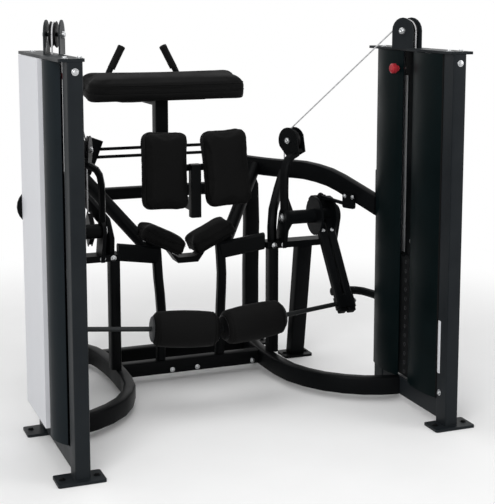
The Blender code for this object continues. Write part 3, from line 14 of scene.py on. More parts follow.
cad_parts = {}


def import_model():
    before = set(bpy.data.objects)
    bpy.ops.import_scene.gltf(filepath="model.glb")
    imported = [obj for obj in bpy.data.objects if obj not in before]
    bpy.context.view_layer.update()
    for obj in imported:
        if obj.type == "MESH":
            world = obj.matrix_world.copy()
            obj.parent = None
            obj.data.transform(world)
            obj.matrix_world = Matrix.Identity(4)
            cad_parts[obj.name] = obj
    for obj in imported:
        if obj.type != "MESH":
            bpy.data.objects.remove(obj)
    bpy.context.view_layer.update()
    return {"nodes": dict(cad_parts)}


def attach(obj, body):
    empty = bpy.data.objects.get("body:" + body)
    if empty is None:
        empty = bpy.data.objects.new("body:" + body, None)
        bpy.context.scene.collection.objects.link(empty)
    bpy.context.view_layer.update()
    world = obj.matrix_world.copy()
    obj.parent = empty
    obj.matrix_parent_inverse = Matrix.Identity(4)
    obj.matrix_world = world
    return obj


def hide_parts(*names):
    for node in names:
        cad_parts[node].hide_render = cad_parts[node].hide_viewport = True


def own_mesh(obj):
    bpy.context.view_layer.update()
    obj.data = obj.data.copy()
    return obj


SIDES = (("right", 1), ("left", -1))
UP = Vector((0, 0, 1))
OUTWARD = Vector((1, 0, 0))
TO_FRONT = Vector((0, -1, 0))
# A vector shorter than this gives no direction
NO_DIRECTION = 1e-4

# The photograph's viewpoint, for a frame of 495 x 504 pixels
CAMERA_PLACE = (-1.8236, -5.2158, 1.8145)
CAMERA_YAW = radians(21.469)
CAMERA_PITCH = radians(8.346)
CAMERA_SENSOR = 36
CAMERA_LENS = 1213.1 / 504 * CAMERA_SENSOR
CAMERA_SHIFT = -0.15

# Studio; a lamp has a name, place, target, diameter and watts
LAMPS = (("key", (-3.4, -4.8, 3.6), (0.0, 0.0, 0.8), 3.4, 190),
         ("fill", (4.4, -3.4, 2.6), (0.0, 0.2, 0.8), 3.0, 60),
         ("top", (0.0, 0.6, 4.6), (0.0, 0.2, 0.6), 4.0, 60))
FLOOR_RADIUS = 14.0
FLOOR_STEPS = 96
FLOOR_FADE_START = 1.5
FLOOR_FADE_END = 3.2
WORLD_LIGHT = 0.55

# Colour sockets of the Mix node, which share their names with its other kinds
MIX_DARK, MIX_LIGHT, MIX_RESULT = 6, 7, 2
# How dark the grain of bare steel is beside its colour
GRAIN_SHADE = 0.82

# Finish of each carried-over solid; the others have the frame's paint
FINISHES = {
    "tower_frame": "tower", "top_plate": "tower", "outer_panel": "panel", "outer_shroud": "cover",
    # The inner shrouds take a darker copy of the shroud paint: painted shade, not a paint of their own
    "inner_shroud_front": "shaded_cover", "inner_shroud_rear": "shaded_cover", "guide_rods": "chrome",
    "weight_stack": "iron", "lifted_plates": "iron", "selector_pin": "knob", "cable_run": "cable",
    "cable_drop": "cable", "top_pulley": "nylon", "guide_pulley": "nylon", "roller_core": "cap",
    "torso_pad": "vinyl", "seat_wing": "vinyl", "roller_pad": "vinyl", "arm_pad": "vinyl"}
EDGE_WIDTH = 0.0016
EDGE_ANGLE = radians(34)
SAME_POINT = 0.00002
# The least part of a face's normal along X for it to count as facing that way
FACING = 0.5

# Towers and stacks
CENTRE_Y = 0.9185
TOWER_X = 0.80
TOWER_DEPTH = 0.660
TOWER_FRONT = -CENTRE_Y
TOWER_REAR = TOWER_DEPTH - CENTRE_Y
COLUMN_INNER = TOWER_X - 0.030
TOP_PLATE_TOP = 1.600
PANEL_INSIDE = 0.869
PIN_START = 0.7705
STACK_Y = 0.375 - CENTRE_Y
STACK_BOTTOM = 0.1256
PLATE_PITCH = 0.042
PLATE_INNER = TOWER_X - 0.025
RESTING_PLATES = 9
ALL_PLATES = 13
LIFTED_GAP = 0.0003

# Cables and pulleys
STEM_TOP = 0.7322
DROP_TOP = 1.6741
DROP_STEPS = 24
CABLE_RADIUS = 0.0035
CAM_CABLE_RADIUS = CABLE_RADIUS * 0.96
CAM_X = 0.492
CAM_LINE = 0.100
CAM_STEPS = 16
PULLEY_AXIS = Vector((0.920388, 0.391006, 0))
TOP_PULLEY = Vector((0.78143, -0.49978, 1.675))
GUIDE_PULLEY = Vector((0.51057, 0.13778, 1.135))
PULLEY_HOLDERS = (("top_plate", TOP_PULLEY), ("pivot_post", GUIDE_PULLEY))
AXLE_RADIUS = 0.016
AXLE_END_RADIUS = 0.0165
AXLE_END_FROM = 0.025
FITTING_PROFILE = ((0, -0.004), (0.009, -0.004), (0.009, 0.006), (0.0105, 0.007), (0.0105, 0.018),
                   (0.007, 0.020), (0.0065, 0.052), (0.0048, 0.058), (0, 0.058))

# Arms, bumpers and rollers; lengths along the arm are measured down from its pivot
PIVOT = Vector((0.585, 1.0 - CENTRE_Y, 0.767))
SHAFT_END_RADIUS = 0.024
SHAFT_END_FROM = 0.126
ARM_RANGE = radians(45)
ARM_LEAN = radians(35)
ARM_X = 0.650
ARM_TUBE = 0.038
ARM_SPACING = 0.046
ARM_TUBES_X = (ARM_X - ARM_SPACING / 2, ARM_X + ARM_SPACING / 2)
ARM_TOP = -0.100
ARM_BOTTOM = 0.502
STOP_ALONG = (PIVOT.z - 0.460) / cos(ARM_LEAN)
STOP_BUMPER_END = ARM_X + 0.026
RANGE_STOP_ALONG = -0.085
RANGE_BUMPER_HALF = 0.018
BUMPER_HALF = 0.0245
BUMPER_START = 0.018
BUMPER_END = 0.0455
ROLLER = Vector((0.018, -0.24705, 0.34821))
ROLLER_AXIS = Vector((0.992099, 0.104274, 0.069756))
ROLLER_LENGTH = 0.292
ROD_RADIUS = 0.019
ROD_TIP_RADIUS = 0.013
ROD_END = ARM_X - 0.046

# Pads: size is width, height and thickness, and a seam is (share of the thickness, inset)
TORSO_SIZE = (0.232, 0.370, 0.066)
TORSO_CENTRE = Vector((0.150, 0.985 - CENTRE_Y, 1.030))
TORSO_TURN = radians(4)
TORSO_ROLL = radians(3)
TORSO_TILT = radians(9)
TORSO_CORNER = 0.045
WING_SIZE = (0.235, 0.180, 0.075)
WING_CORNER = 0.030
SEAT_Y = 1.160 - CENTRE_Y
SEAT_Z = 0.600
SEAT_SLOPE = radians(26)
BODY_PAD_SEAMS = ((0.60, 0.0), (0.06, 0.006))
ARM_PAD_SIZE = (0.820, 0.235, 0.105)
ARM_PAD_SEAT = Vector((0, 1.500 - CENTRE_Y, 1.335))
ARM_PAD_TILT = radians(10)
ARM_PAD_CORNER = 0.045
ARM_PAD_SEAMS = ((0.80, 0.004), (0.42, 0.003))
ROLLER_HELD = 0.060
ROLLER_SEAM_RADIUS = 0.078
ROLLER_SEAM_INSET = 0.017
ROLLER_SEAM_STEPS = 64

# Cloth simulation of the pads, and their sewing
VOXEL = 0.006
CLOTH_FRAMES = 20
CLOTH_PRESSURE = 4.0
PAD_SHRINK = 0.004
PAD_CAP = 0.008
ROLLER_CAP = 0.005
PAD_BACK = 0.005
SOFTEN_ROUNDS = 4
OUTLINE_STEP = 0.008
SEAM_REACH = 0.011
SEAM_DEPTH = 0.0016
ROLLER_SEAM_DEPTH = 0.0012
WELT_RADIUS = 0.0021
ROLLER_WELT_RADIUS = 0.0018
WELT_STEPS = 8
STITCH_SHIFT = 0.006
STITCH_SPACING = 0.0085
STITCH_SHARE = 0.58
STITCH_RADIUS = 0.0006
STITCH_STEPS = 5

# Bolt heads: profiles are (share of the head's radius, height)
WASHER_PROFILE = ((0, 0), (1.45, 0), (1.45, 0.0012), (1.3, 0.0016), (0, 0.0016))
HEX_PROFILE = ((0, 0.0016), (1, 0.0016), (1, 0.0058), (0.86, 0.0068), (0, 0.0068))
DOME_PROFILE = ((0, 0), (1, 0), (1, 0.0012), (0.92, 0.0030), (0.7, 0.0042), (0.42, 0.0046),
                (0.38, 0.0022), (0, 0.0022))
FRAME_HEX = 0.0095
RANGE_HEX = 0.007
BEAM_HEX = 0.0085
ROD_HEX = 0.0085
TUBE_HEX = 0.0062
PAD_DOME = 0.008
PULLEY_DOME = 0.011
SHAFT_DOME = 0.015

# Bolt places on the right half, each with the direction out of its face
TOP_BOLTS_X = (TOWER_X - 0.028, TOWER_X + 0.028)
TOP_BOLTS_Y = (TOWER_FRONT + 0.045, TOWER_REAR - 0.045)
FRAME_BOLTS = (((TOWER_X, TOWER_FRONT, 1.552), TO_FRONT),
               ((COLUMN_INNER, TOWER_FRONT + 0.058, 0.146), -OUTWARD),
               *(((x, y, TOP_PLATE_TOP), UP) for x in TOP_BOLTS_X for y in TOP_BOLTS_Y),
               ((0.400, PIVOT.y, 0.635), TO_FRONT),
               ((0.450, PIVOT.y, 0.635), TO_FRONT))
RANGE_PLATE = Vector((0.6904, 0.7938 - CENTRE_Y, 0.888))
RANGE_LEVEL = Vector((-0.3881, 0.9216, 0))
RANGE_OUT = Vector((-0.9216, -0.3881, 0))
RANGE_BOLTS = tuple((RANGE_PLATE + RANGE_LEVEL * shift, RANGE_OUT) for shift in (-0.024, 0.024))
TUBE_BOLT_ALONG = 0.088

# Foot plates of the right half: the middle of their two bolts, and half the bolts' spacing
FOOT_X = TOWER_X + 0.0075
FEET = ((FOOT_X, TOWER_FRONT + 0.031, 0.068), (FOOT_X, TOWER_REAR - 0.043, 0.068),
        (0.480, 1.520 - CENTRE_Y, 0.068), (0.620, 1.250 - CENTRE_Y, 0.058))
FOOT_TOP = 0.012

# The front beam's bolts, where the photograph shows them: they aren't symmetrical
BEAM_BOLTS_X = (-0.0995, 0.0274, 0.3137)
BEAM_FRONT = 1.070 - CENTRE_Y
BEAM_BOLTS_Z = 0.052

# Bolts behind and under the pads: places across and along, and depth from the pad's back
TORSO_BOLTS = ((-0.052, 0.052), (-0.085, 0.085), -0.0083)
WING_BOLTS = ((-0.075, 0.085), (-0.048, 0.048), -0.008)
ARM_PAD_BOLTS = ((0.17, 0.10), (-0.06, 0.06), -0.0063)

# Grips and pin-hole rings: profiles are (radius, height)
GRIP_BOTTOM = 1.450
GRIP_START = -0.085
GRIP_PLAIN = 0.016
GRIP_PITCH = 0.007
GRIP_FOOT = ((0.0162, 0), (0.0200, 0), (0.0205, 0.004))
GRIP_RIB = ((0.0192, 0.0060), (0.0192, 0.0082), (0.0201, 0.0094), (0.0201, 0.0116))
GRIP_HEAD = ((0.0205, -0.006), (0.0196, 0.001), (0.0150, 0.0032), (0, 0.0036))
GRIP_STEPS = 24
BUSHING_PROFILE = ((0.0062, 0.0001), (0.0098, 0.0001), (0.0098, 0.0010), (0.0088, 0.0016),
                   (0.0070, 0.0016), (0.0062, 0.0001))

# Plugs, strips and seals: profiles are (inset, height, corner radius)
PLUG_PROFILE = ((0.002, 0.0003, 0.0042), (0.0015, 0.002, 0.0044), (0.004, 0.0036, 0.0034),
                (0.010, 0.0040, 0.002))
STRIP_CENTRE = (0.066 - CENTRE_Y, 0.345)
STRIP_SIZE = (0.020, 0.230)
STRIP_PROFILE = ((0.0, 0.0, 0.004), (0.0, 0.0010, 0.004), (0.0012, 0.0018, 0.004))
RIB_CENTRE = (-0.338, 0.885)
RIB_SIZE = (0.044, 1.170)
RIB_PROFILE = ((0.0, 0.0, 0.004), (0.0, 0.0015, 0.004), (0.006, 0.006, 0.004))
TRIM_CORNER_STEPS = 3
SEAL_BOTTOM = Vector((0.7705, 0.0845 - CENTRE_Y, 0.118))
SEAL_TOP = Vector((0.7705, 0.0845 - CENTRE_Y, 1.585))
SEAL_RADIUS = 0.004
SEAL_STEPS = 12


# Materials

def new_material(name):
    """A material, its Principled shader, its place on the object, and helpers to add and link nodes."""
    made = bpy.data.materials.new(name)
    made.use_nodes = True
    tree = made.node_tree
    shader = tree.nodes["Principled BSDF"]

    def add(kind, inputs=(), **settings):
        node = tree.nodes.new(kind)
        for key, value in settings.items():
            setattr(node, key, value)
        for key, value in inputs:
            if hasattr(value, "is_linked"):
                tree.links.new(value, node.inputs[key])
            else:
                node.inputs[key].default_value = value
        return node

    def link(output, key):
        tree.links.new(output, shader.inputs[key])

    place = add("ShaderNodeTexCoord").outputs["Object"]
    return made, shader, place, add, link


def noise(add, place, scale, detail):
    """A noise field at one scale."""
    return add("ShaderNodeTexNoise", [("Vector", place), ("Scale", scale), ("Detail", detail)]).outputs["Fac"]


def spread(add, link, field, dark, light, roughness):
    """Colour and roughness that follow the middle of a noise field between two ends."""
    middle = [("Value", field), ("From Min", 0.3), ("From Max", 0.7)]
    share = add("ShaderNodeMapRange", middle)
    mix = add("ShaderNodeMix", [("Factor", share.outputs[0])], data_type='RGBA')
    mix.inputs[MIX_DARK].default_value = (*dark, 1)
    mix.inputs[MIX_LIGHT].default_value = (*light, 1)
    link(mix.outputs[MIX_RESULT], "Base Color")
    gloss = add("ShaderNodeMapRange", middle + [("To Min", roughness[0]), ("To Max", roughness[1])])
    link(gloss.outputs[0], "Roughness")


def relief(add, link, height, strength, distance):
    """A bump that follows one field."""
    bump = add("ShaderNodeBump", [("Height", height), ("Strength", strength), ("Distance", distance)])
    link(bump.outputs[0], "Normal")


def paint(name, dark, light, roughness=(0.36, 0.48), gloss=0.05):
    """Powder coat: slightly uneven colour and gloss, and a fine orange-peel bump."""
    made, shader, place, add, link = new_material(name)
    spread(add, link, noise(add, place, scale=7.0, detail=4.0), dark, light, roughness)
    relief(add, link, noise(add, place, scale=420.0, detail=2.0), strength=0.5, distance=0.00008)
    shader.inputs["Specular IOR Level"].default_value = gloss
    return made


def vinyl(name, dark, light, roughness):
    """Upholstery vinyl: pebbled grain with fine creases."""
    made, shader, place, add, link = new_material(name)
    spread(add, link, noise(add, place, scale=9.0, detail=5.0), dark, light, roughness)
    pebble = add("ShaderNodeTexVoronoi", [("Vector", place), ("Scale", 520.0)], feature='SMOOTH_F1')
    crease = noise(add, place, scale=130.0, detail=6.0)
    height = add("ShaderNodeMath", [(0, pebble.outputs["Distance"]), (1, crease)], operation='ADD')
    relief(add, link, height.outputs[0], strength=0.45, distance=0.0005)
    shader.inputs["Specular IOR Level"].default_value = 0.07
    return made


def steel(name, colour, roughness, stretch=(1, 1, 60)):
    """Bare steel with a drawn grain along one direction."""
    made, shader, place, add, link = new_material(name)
    drawn = add("ShaderNodeMapping", [("Vector", place), ("Scale", stretch)])
    dark = tuple(c * GRAIN_SHADE for c in colour)
    spread(add, link, noise(add, drawn.outputs[0], scale=40.0, detail=3.0), dark, colour, roughness)
    shader.inputs["Metallic"].default_value = 1.0
    return made


def moulded(name, dark, light, roughness, grain=260.0, depth=0.0002, gloss=0.2):
    """Moulded plastic, rubber or iron with a fine grain."""
    made, shader, place, add, link = new_material(name)
    spread(add, link, noise(add, place, scale=24.0, detail=3.0), dark, light, roughness)
    relief(add, link, noise(add, place, scale=grain, detail=4.0), strength=0.4, distance=depth)
    shader.inputs["Specular IOR Level"].default_value = gloss
    return made


def cable_sheath(name, dark, light, roughness):
    """Nylon over a laid steel cable: fine slanting ribs show through."""
    made, _, place, add, link = new_material(name)
    settings = [("Vector", place), ("Scale", 90.0), ("Distortion", 1.5), ("Detail", 2.0)]
    lay = add("ShaderNodeTexWave", settings, bands_direction='DIAGONAL').outputs["Fac"]
    spread(add, link, lay, dark, light, roughness)
    relief(add, link, lay, strength=0.4, distance=0.0003)
    return made


def make_materials():
    """Every finish by its short name; colours are the dark and light ends of each."""
    return {
        "frame": paint("frame_paint", (0.0016, 0.0019, 0.0022), (0.0028, 0.0033, 0.0038)),
        "tower": paint("tower_paint", (0.0085, 0.0105, 0.0125), (0.0115, 0.0140, 0.0160), gloss=0.09),
        "cover": paint("cover_paint", (0.0062, 0.0092, 0.0112), (0.0082, 0.0120, 0.0146)),
        # The same shroud paint as the outer covers, made darker as painted shade of the far side
        "shaded_cover": paint("shaded_cover_paint", (0.0006, 0.0030, 0.0034), (0.0012, 0.0044, 0.0050)),
        "panel": paint("panel_paint", (0.585, 0.593, 0.62), (0.615, 0.623, 0.65), (0.40, 0.50), gloss=0.3),
        # Paler than the panel's own paint: a painted highlight standing for the lit inside of the slot
        "rib": paint("painted_highlight_rib_paint", (0.80, 0.81, 0.82), (0.87, 0.88, 0.89), (0.45, 0.55), gloss=0.3),
        "iron": moulded("stack_iron", (0.0028, 0.0032, 0.0036), (0.0050, 0.0056, 0.0060), (0.45, 0.62),
                        gloss=0.06),
        "chrome": steel("rod_chrome", (0.70, 0.70, 0.71), (0.26, 0.36)),
        "bolt": steel("bolt_zinc", (0.55, 0.56, 0.57), (0.22, 0.36), (1, 1, 1)),
        "bushing": steel("bushing_steel", (0.045, 0.047, 0.049), (0.40, 0.55), (1, 1, 1)),
        "axle": steel("axle_steel", (0.036, 0.038, 0.039), (0.34, 0.48), (60, 1, 1)),
        "nylon": moulded("pulley_nylon", (0.0030, 0.0030, 0.0034), (0.0055, 0.0055, 0.0060), (0.32, 0.44),
                         gloss=0.08),
        "vinyl": vinyl("pad_vinyl", (0.0030, 0.0030, 0.0031), (0.0046, 0.0046, 0.0046), (0.62, 0.76)),
        "thread": moulded("pad_thread", (0.008, 0.008, 0.008), (0.013, 0.013, 0.013), (0.55, 0.7),
                          grain=900.0),
        "cap": moulded("roller_cap", (0.040, 0.042, 0.044), (0.056, 0.058, 0.061), (0.38, 0.50)),
        "rubber": moulded("bumper_rubber", (0.0026, 0.0026, 0.0026), (0.0046, 0.0046, 0.0046), (0.6, 0.75),
                          grain=340.0, depth=0.0003, gloss=0.08),
        "knob": moulded("red_knob", (0.30, 0.018, 0.026), (0.38, 0.026, 0.036), (0.24, 0.34),
                        grain=160.0, depth=0.0001),
        "cable": cable_sheath("cable_sheath", (0.40, 0.40, 0.41), (0.56, 0.56, 0.57), (0.36, 0.48)),
    }


# Places

def side_point(side, point):
    """A point or direction of the right half, on the side asked for."""
    return Vector((side * point[0], point[1], point[2]))


def from_line(point, centre, axis):
    """Distance of a point from the line through centre along axis."""
    offset = point - centre
    return (offset - axis * offset.dot(axis)).length


def end_along(node, centre, axis, radius):
    """The end of a solid along a line, among its points within radius of it."""
    points = [v.co for v in node.data.vertices if from_line(v.co, centre, axis) < radius]
    return centre + axis * max((point - centre).dot(axis) for point in points)


def arm_directions():
    """Down the resting arm, and across it to its rear."""
    return Vector((0, -sin(ARM_LEAN), -cos(ARM_LEAN))), Vector((0, cos(ARM_LEAN), -sin(ARM_LEAN)))


def arm_point(x, along, across=0.0):
    """A point of the resting arm: how far down it, and how far behind its middle."""
    down, back = arm_directions()
    return Vector((x, PIVOT.y, PIVOT.z)) + down * along + back * across


def torso_place(a, b, depth):
    """A point of the right torso pad: across it, up it, and from its flat back."""
    turn = (Matrix.Rotation(-TORSO_TURN, 3, 'Z') @ Matrix.Rotation(-TORSO_ROLL, 3, 'Y')
            @ Matrix.Rotation(-TORSO_TILT, 3, 'X'))
    return TORSO_CENTRE + turn @ Vector((a, TORSO_SIZE[2] / 2 - depth, b))


def wing_place(a, b, depth):
    """A point of the right seat wing: up its slope, along it, and from its underside."""
    along = Vector((cos(SEAT_SLOPE), 0, sin(SEAT_SLOPE)))
    out = Vector((-sin(SEAT_SLOPE), 0, cos(SEAT_SLOPE)))
    inner = Vector((WING_SIZE[2] * sin(SEAT_SLOPE), SEAT_Y, SEAT_Z))
    return inner + along * (WING_SIZE[0] / 2 + a) + Vector((0, b, 0)) + out * depth


def arm_pad_place(a, b, depth):
    """A point of the forearm pad: across it, along it, and from its underside."""
    return ARM_PAD_SEAT + Matrix.Rotation(ARM_PAD_TILT, 3, 'X') @ Vector((a, b, depth))


# Meshes and pieces

def to_mesh(bm, name="detail"):
    """A smooth mesh from a bmesh, which is freed."""
    bmesh.ops.recalc_face_normals(bm, faces=bm.faces)
    mesh = bpy.data.meshes.new(name)
    bm.to_mesh(mesh)
    bm.free()
    mesh.shade_smooth()
    return mesh


def mirrored(mesh):
    """The left twin of a mesh."""
    copy = mesh.copy()
    copy.transform(Matrix.Scale(-1, 4, OUTWARD))
    copy.flip_normals()
    return copy


def dress(name, mesh, look, body):
    """An object of a mesh, painted and the body that it belongs to."""
    piece = bpy.data.objects.new(name, mesh)
    bpy.context.scene.collection.objects.link(piece)
    mesh.materials.clear()
    mesh.materials.append(look)
    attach(piece, body)
    return piece


def as_piece(name, bm, look, body):
    """A dressed piece from a bmesh, which is freed."""
    return dress(name, to_mesh(bm, name), look, body)


def around(steps):
    """Even angles round a circle."""
    return [2 * pi * i / steps for i in range(steps)]


def lathe(bm, profile, centre, axis, steps=20):
    """Turn (radius, height) points about an axis into bm; a radius of 0 closes on the axis."""
    turn = UP.rotation_difference(Vector(axis).normalized()).to_matrix()
    rings = []
    for radius, height in profile:
        points = [Vector((radius * cos(a), radius * sin(a), height)) for a in around(steps if radius else 1)]
        rings.append([bm.verts.new(Vector(centre) + turn @ point) for point in points])
    for low, high in zip(rings, rings[1:]):
        for i in range(steps):
            corners = [low[i % len(low)], low[(i + 1) % len(low)],
                       high[(i + 1) % len(high)], high[i % len(high)]]
            bm.faces.new(list(dict.fromkeys(corners)))


def tube(bm, path, radius, steps=10, closed=False):
    """Sweep a round section along a path into bm, with flat ends or as a closed loop."""
    count = len(path)
    side = UP
    rings = []
    for i, point in enumerate(path):
        before = path[(i - 1) % count] if closed or i else point
        after = path[(i + 1) % count] if closed or i < count - 1 else point
        along = (after - before).normalized()
        side = side - along * side.dot(along)
        if side.length < NO_DIRECTION:
            side = along.orthogonal()
        side.normalize()
        across = along.cross(side)
        rings.append([bm.verts.new(point + (side * cos(a) + across * sin(a)) * radius)
                      for a in around(steps)])
    pairs = list(zip(rings, rings[1:]))
    if closed:
        pairs.append((rings[-1], rings[0]))
    else:
        bm.faces.new(rings[0][::-1])
        bm.faces.new(rings[-1])
    for low, high in pairs:
        for k in range(steps):
            bm.faces.new((low[k], low[(k + 1) % steps], high[(k + 1) % steps], high[k]))


def outline(width, height, corner, steps=8):
    """A fine round-cornered outline whose long sides are divided too."""
    points = []
    for a, b, start in ((1, 1, 0), (-1, 1, pi / 2), (-1, -1, pi), (1, -1, 3 * pi / 2)):
        for i in range(steps + 1):
            angle = start + pi / 2 * i / steps
            points.append((a * (width / 2 - corner) + corner * cos(angle),
                           b * (height / 2 - corner) + corner * sin(angle)))
    fine = []
    for (a0, b0), (a1, b1) in zip(points, points[1:] + points[:1]):
        parts = max(1, int(((a1 - a0) ** 2 + (b1 - b0) ** 2) ** 0.5 / OUTLINE_STEP))
        fine += [(a0 + (a1 - a0) * k / parts, b0 + (b1 - b0) * k / parts) for k in range(parts)]
    return fine


def stepped(bm, size, profile, place):
    """A closed form of round-cornered rings into bm; place(a, b, height) puts a point of a ring."""
    rings = []
    for inset, height, corner in profile:
        points = outline(size[0] - 2 * inset, size[1] - 2 * inset, corner, TRIM_CORNER_STEPS)
        rings.append([bm.verts.new(place(a, b, height)) for a, b in points])
    bm.faces.new(rings[0])
    bm.faces.new(rings[-1])
    for low, high in zip(rings, rings[1:]):
        pairs = [pair for ring in (low, high) for pair in zip(ring, ring[1:] + ring[:1])]
        bmesh.ops.bridge_loops(bm, edges=[bm.edges.get(pair) or bm.edges.new(pair) for pair in pairs])


# Carried-over solids

def paint_solids(nodes, looks):
    """Finish every solid and soften its edges; pads and drop cables are replaced later."""
    for name, node in nodes.items():
        kind = FINISHES.get(name.removeprefix("left_").removeprefix("right_"), "frame")
        node.data.materials.clear()
        node.data.materials.append(looks[kind])
        for face in node.data.polygons:
            face.use_smooth = True
        weld = node.modifiers.new("weld", 'WELD')
        weld.merge_threshold = SAME_POINT
        bevel = node.modifiers.new("edges", 'BEVEL')
        bevel.width = EDGE_WIDTH
        bevel.segments = 2
        bevel.limit_method = 'ANGLE'
        bevel.angle_limit = EDGE_ANGLE
        node.modifiers.new("normals", 'WEIGHTED_NORMAL')


def repaint(node, look, chosen):
    """Give another finish to the faces of a solid that chosen(middle, normal) picks."""
    node.data.materials.append(look)
    for face in node.data.polygons:
        if chosen(face.center, face.normal):
            face.material_index = len(node.data.materials) - 1


def in_bumper(point, along, sign):
    """Whether a point is within a bumper that meets the arm at one length down it."""
    down, back = arm_directions()
    offset = Vector((0, point.y, point.z)) - Vector((0, PIVOT.y, PIVOT.z))
    depth = offset.dot(back) * sign
    return abs(offset.dot(down) - along) < BUMPER_HALF and BUMPER_START < depth < BUMPER_END


def repaint_fittings(nodes, looks):
    """Steel axle ends, pins and rods, rubber bumpers, and the dark inner side of each pale panel."""
    for name, side in SIDES:
        axis = side_point(side, PULLEY_AXIS)
        for solid, centre in PULLEY_HOLDERS:
            place = side_point(side, centre)
            repaint(nodes[f"{name}_{solid}"], looks["bolt"],
                    lambda p, _: (from_line(p, place, axis) < AXLE_END_RADIUS
                                  and abs((p - place).dot(axis)) > AXLE_END_FROM))
        arm, pivot = nodes[f"{name}_swing_arm"], side_point(side, PIVOT)
        repaint(arm, looks["bolt"],
                lambda p, _: (from_line(p, pivot, OUTWARD) < SHAFT_END_RADIUS
                              and abs(abs(p.x) - PIVOT.x) > SHAFT_END_FROM))
        roller, along = side_point(side, ROLLER), side_point(side, ROLLER_AXIS)
        repaint(arm, looks["axle"],
                lambda p, _: from_line(p, roller, along) < ROD_RADIUS and abs(p.x) < ROD_END)
        repaint(nodes[f"{name}_roller_core"], looks["nylon"],
                lambda p, _: (p - roller).dot(along) < ROLLER_LENGTH / 2)
        repaint(nodes[f"{name}_selector_pin"], looks["chrome"], lambda p, _: abs(p.x) > PIN_START)
        repaint(nodes[f"{name}_stop_bar"], looks["rubber"],
                lambda p, _: abs(p.x) < STOP_BUMPER_END and in_bumper(p, STOP_ALONG, 1))
        repaint(nodes[f"{name}_range_stop"], looks["rubber"],
                lambda p, _: (abs(abs(p.x) - ARM_X) < RANGE_BUMPER_HALF
                              and in_bumper(p, RANGE_STOP_ALONG, -1)))
        repaint(nodes[f"{name}_outer_panel"], looks["tower"], lambda _, normal: normal.x * side < -FACING)


# Pads

def welded_copy(mesh):
    """A copy of a mesh whose doubled corners are merged."""
    bm = bmesh.new()
    bm.from_mesh(mesh)
    bmesh.ops.remove_doubles(bm, verts=bm.verts, dist=SAME_POINT)
    copy = bpy.data.meshes.new("pad")
    bm.to_mesh(copy)
    bm.free()
    return copy


def applied(piece):
    """The piece's mesh with its modifiers applied; the modifiers are then gone."""
    mesh = bpy.data.meshes.new_from_object(piece.evaluated_get(bpy.context.evaluated_depsgraph_get()))
    piece.modifiers.clear()
    piece.data = mesh
    return mesh


def upholster(source, held, cap):
    """A pad's mesh: the solid's form, made a little smaller, then blown up as held cloth."""
    piece = bpy.data.objects.new("pad", welded_copy(source))
    bpy.context.scene.collection.objects.link(piece)
    remesh = piece.modifiers.new("voxels", 'REMESH')
    remesh.mode = 'VOXEL'
    remesh.voxel_size = VOXEL
    mesh = applied(piece)
    fixed = [v.index for v in mesh.vertices if held(v.co)]
    free = set(range(len(mesh.vertices))) - set(fixed)
    for i in free:
        mesh.vertices[i].co -= mesh.vertices[i].normal * PAD_SHRINK
    blow_up(piece, fixed, cap)
    soften(piece.data, free)
    finer = piece.modifiers.new("finer", 'SUBSURF')
    finer.levels = 1
    mesh = applied(piece)
    bpy.data.objects.remove(piece)
    mesh.shade_smooth()
    return mesh


def blow_up(piece, fixed, cap):
    """Run the cloth under pressure and keep its result, no point further than cap from its start."""
    scene = bpy.context.scene
    start = [v.co.copy() for v in piece.data.vertices]
    piece.vertex_groups.new(name="held").add(fixed, 1.0, 'REPLACE')
    cloth = piece.modifiers.new("cloth", 'CLOTH')
    cloth.settings.vertex_group_mass = "held"
    cloth.settings.use_pressure = True
    cloth.settings.uniform_pressure_force = CLOTH_PRESSURE
    cloth.settings.effector_weights.gravity = 0
    cloth.collision_settings.use_collision = False
    cloth.point_cache.frame_start = 1
    cloth.point_cache.frame_end = CLOTH_FRAMES
    for step in range(1, CLOTH_FRAMES + 1):
        scene.frame_set(step)
    mesh = applied(piece)
    scene.frame_set(1)
    for vertex, origin in zip(mesh.vertices, start):
        move = vertex.co - origin
        if move.length > cap:
            vertex.co = origin + move.normalized() * cap


def soften(mesh, free):
    """Even out the voxel steps of the free part of a pad."""
    bm = bmesh.new()
    bm.from_mesh(mesh)
    bm.verts.ensure_lookup_table()
    chosen = [bm.verts[i] for i in free]
    for _ in range(SOFTEN_ROUNDS):
        bmesh.ops.smooth_vert(bm, verts=chosen, factor=0.5, use_axis_x=True, use_axis_y=True, use_axis_z=True)
    bm.to_mesh(mesh)
    bm.free()


def drawn_in(mesh, path, depth):
    """Draw the cover in along a seam; returns the seam's points on the cover."""
    tree = BVHTree.FromPolygons([v.co for v in mesh.vertices], [p.vertices for p in mesh.polygons])
    points = [tree.find_nearest(point)[0] for point in path]
    near = KDTree(len(points))
    for i, point in enumerate(points):
        near.insert(point, i)
    near.balance()
    normals = [v.normal.copy() for v in mesh.vertices]
    for vertex, normal in zip(mesh.vertices, normals):
        distance = near.find(vertex.co)[2]
        if distance < SEAM_REACH:
            vertex.co -= normal * depth * (1 - (distance / SEAM_REACH) ** 2) ** 2
    return points


def point_along(points, lengths, distance):
    """The point at one distance along a closed chain of points."""
    for i, length in enumerate(lengths):
        if distance <= length:
            return points[i].lerp(points[(i + 1) % len(points)], distance / length)
        distance -= length
    return points[0]


def stitches(bm, points, centre, shift):
    """A row of short stitches beside a closed seam, shifted along one direction."""
    lengths = [(after - point).length for point, after in zip(points, points[1:] + points[:1])]
    total = sum(lengths)
    number = int(total / STITCH_SPACING)
    way = shift.normalized()
    for k in range(number):
        start = point_along(points, lengths, total * k / number) + shift
        end = point_along(points, lengths, total * (k + STITCH_SHARE) / number) + shift
        outward = start - centre
        lift = (outward - way * outward.dot(way)).normalized() * STITCH_RADIUS
        arch = [start - lift, start.lerp(end, 0.25) + lift, start.lerp(end, 0.75) + lift, end - lift]
        tube(bm, arch, STITCH_RADIUS, STITCH_STEPS)


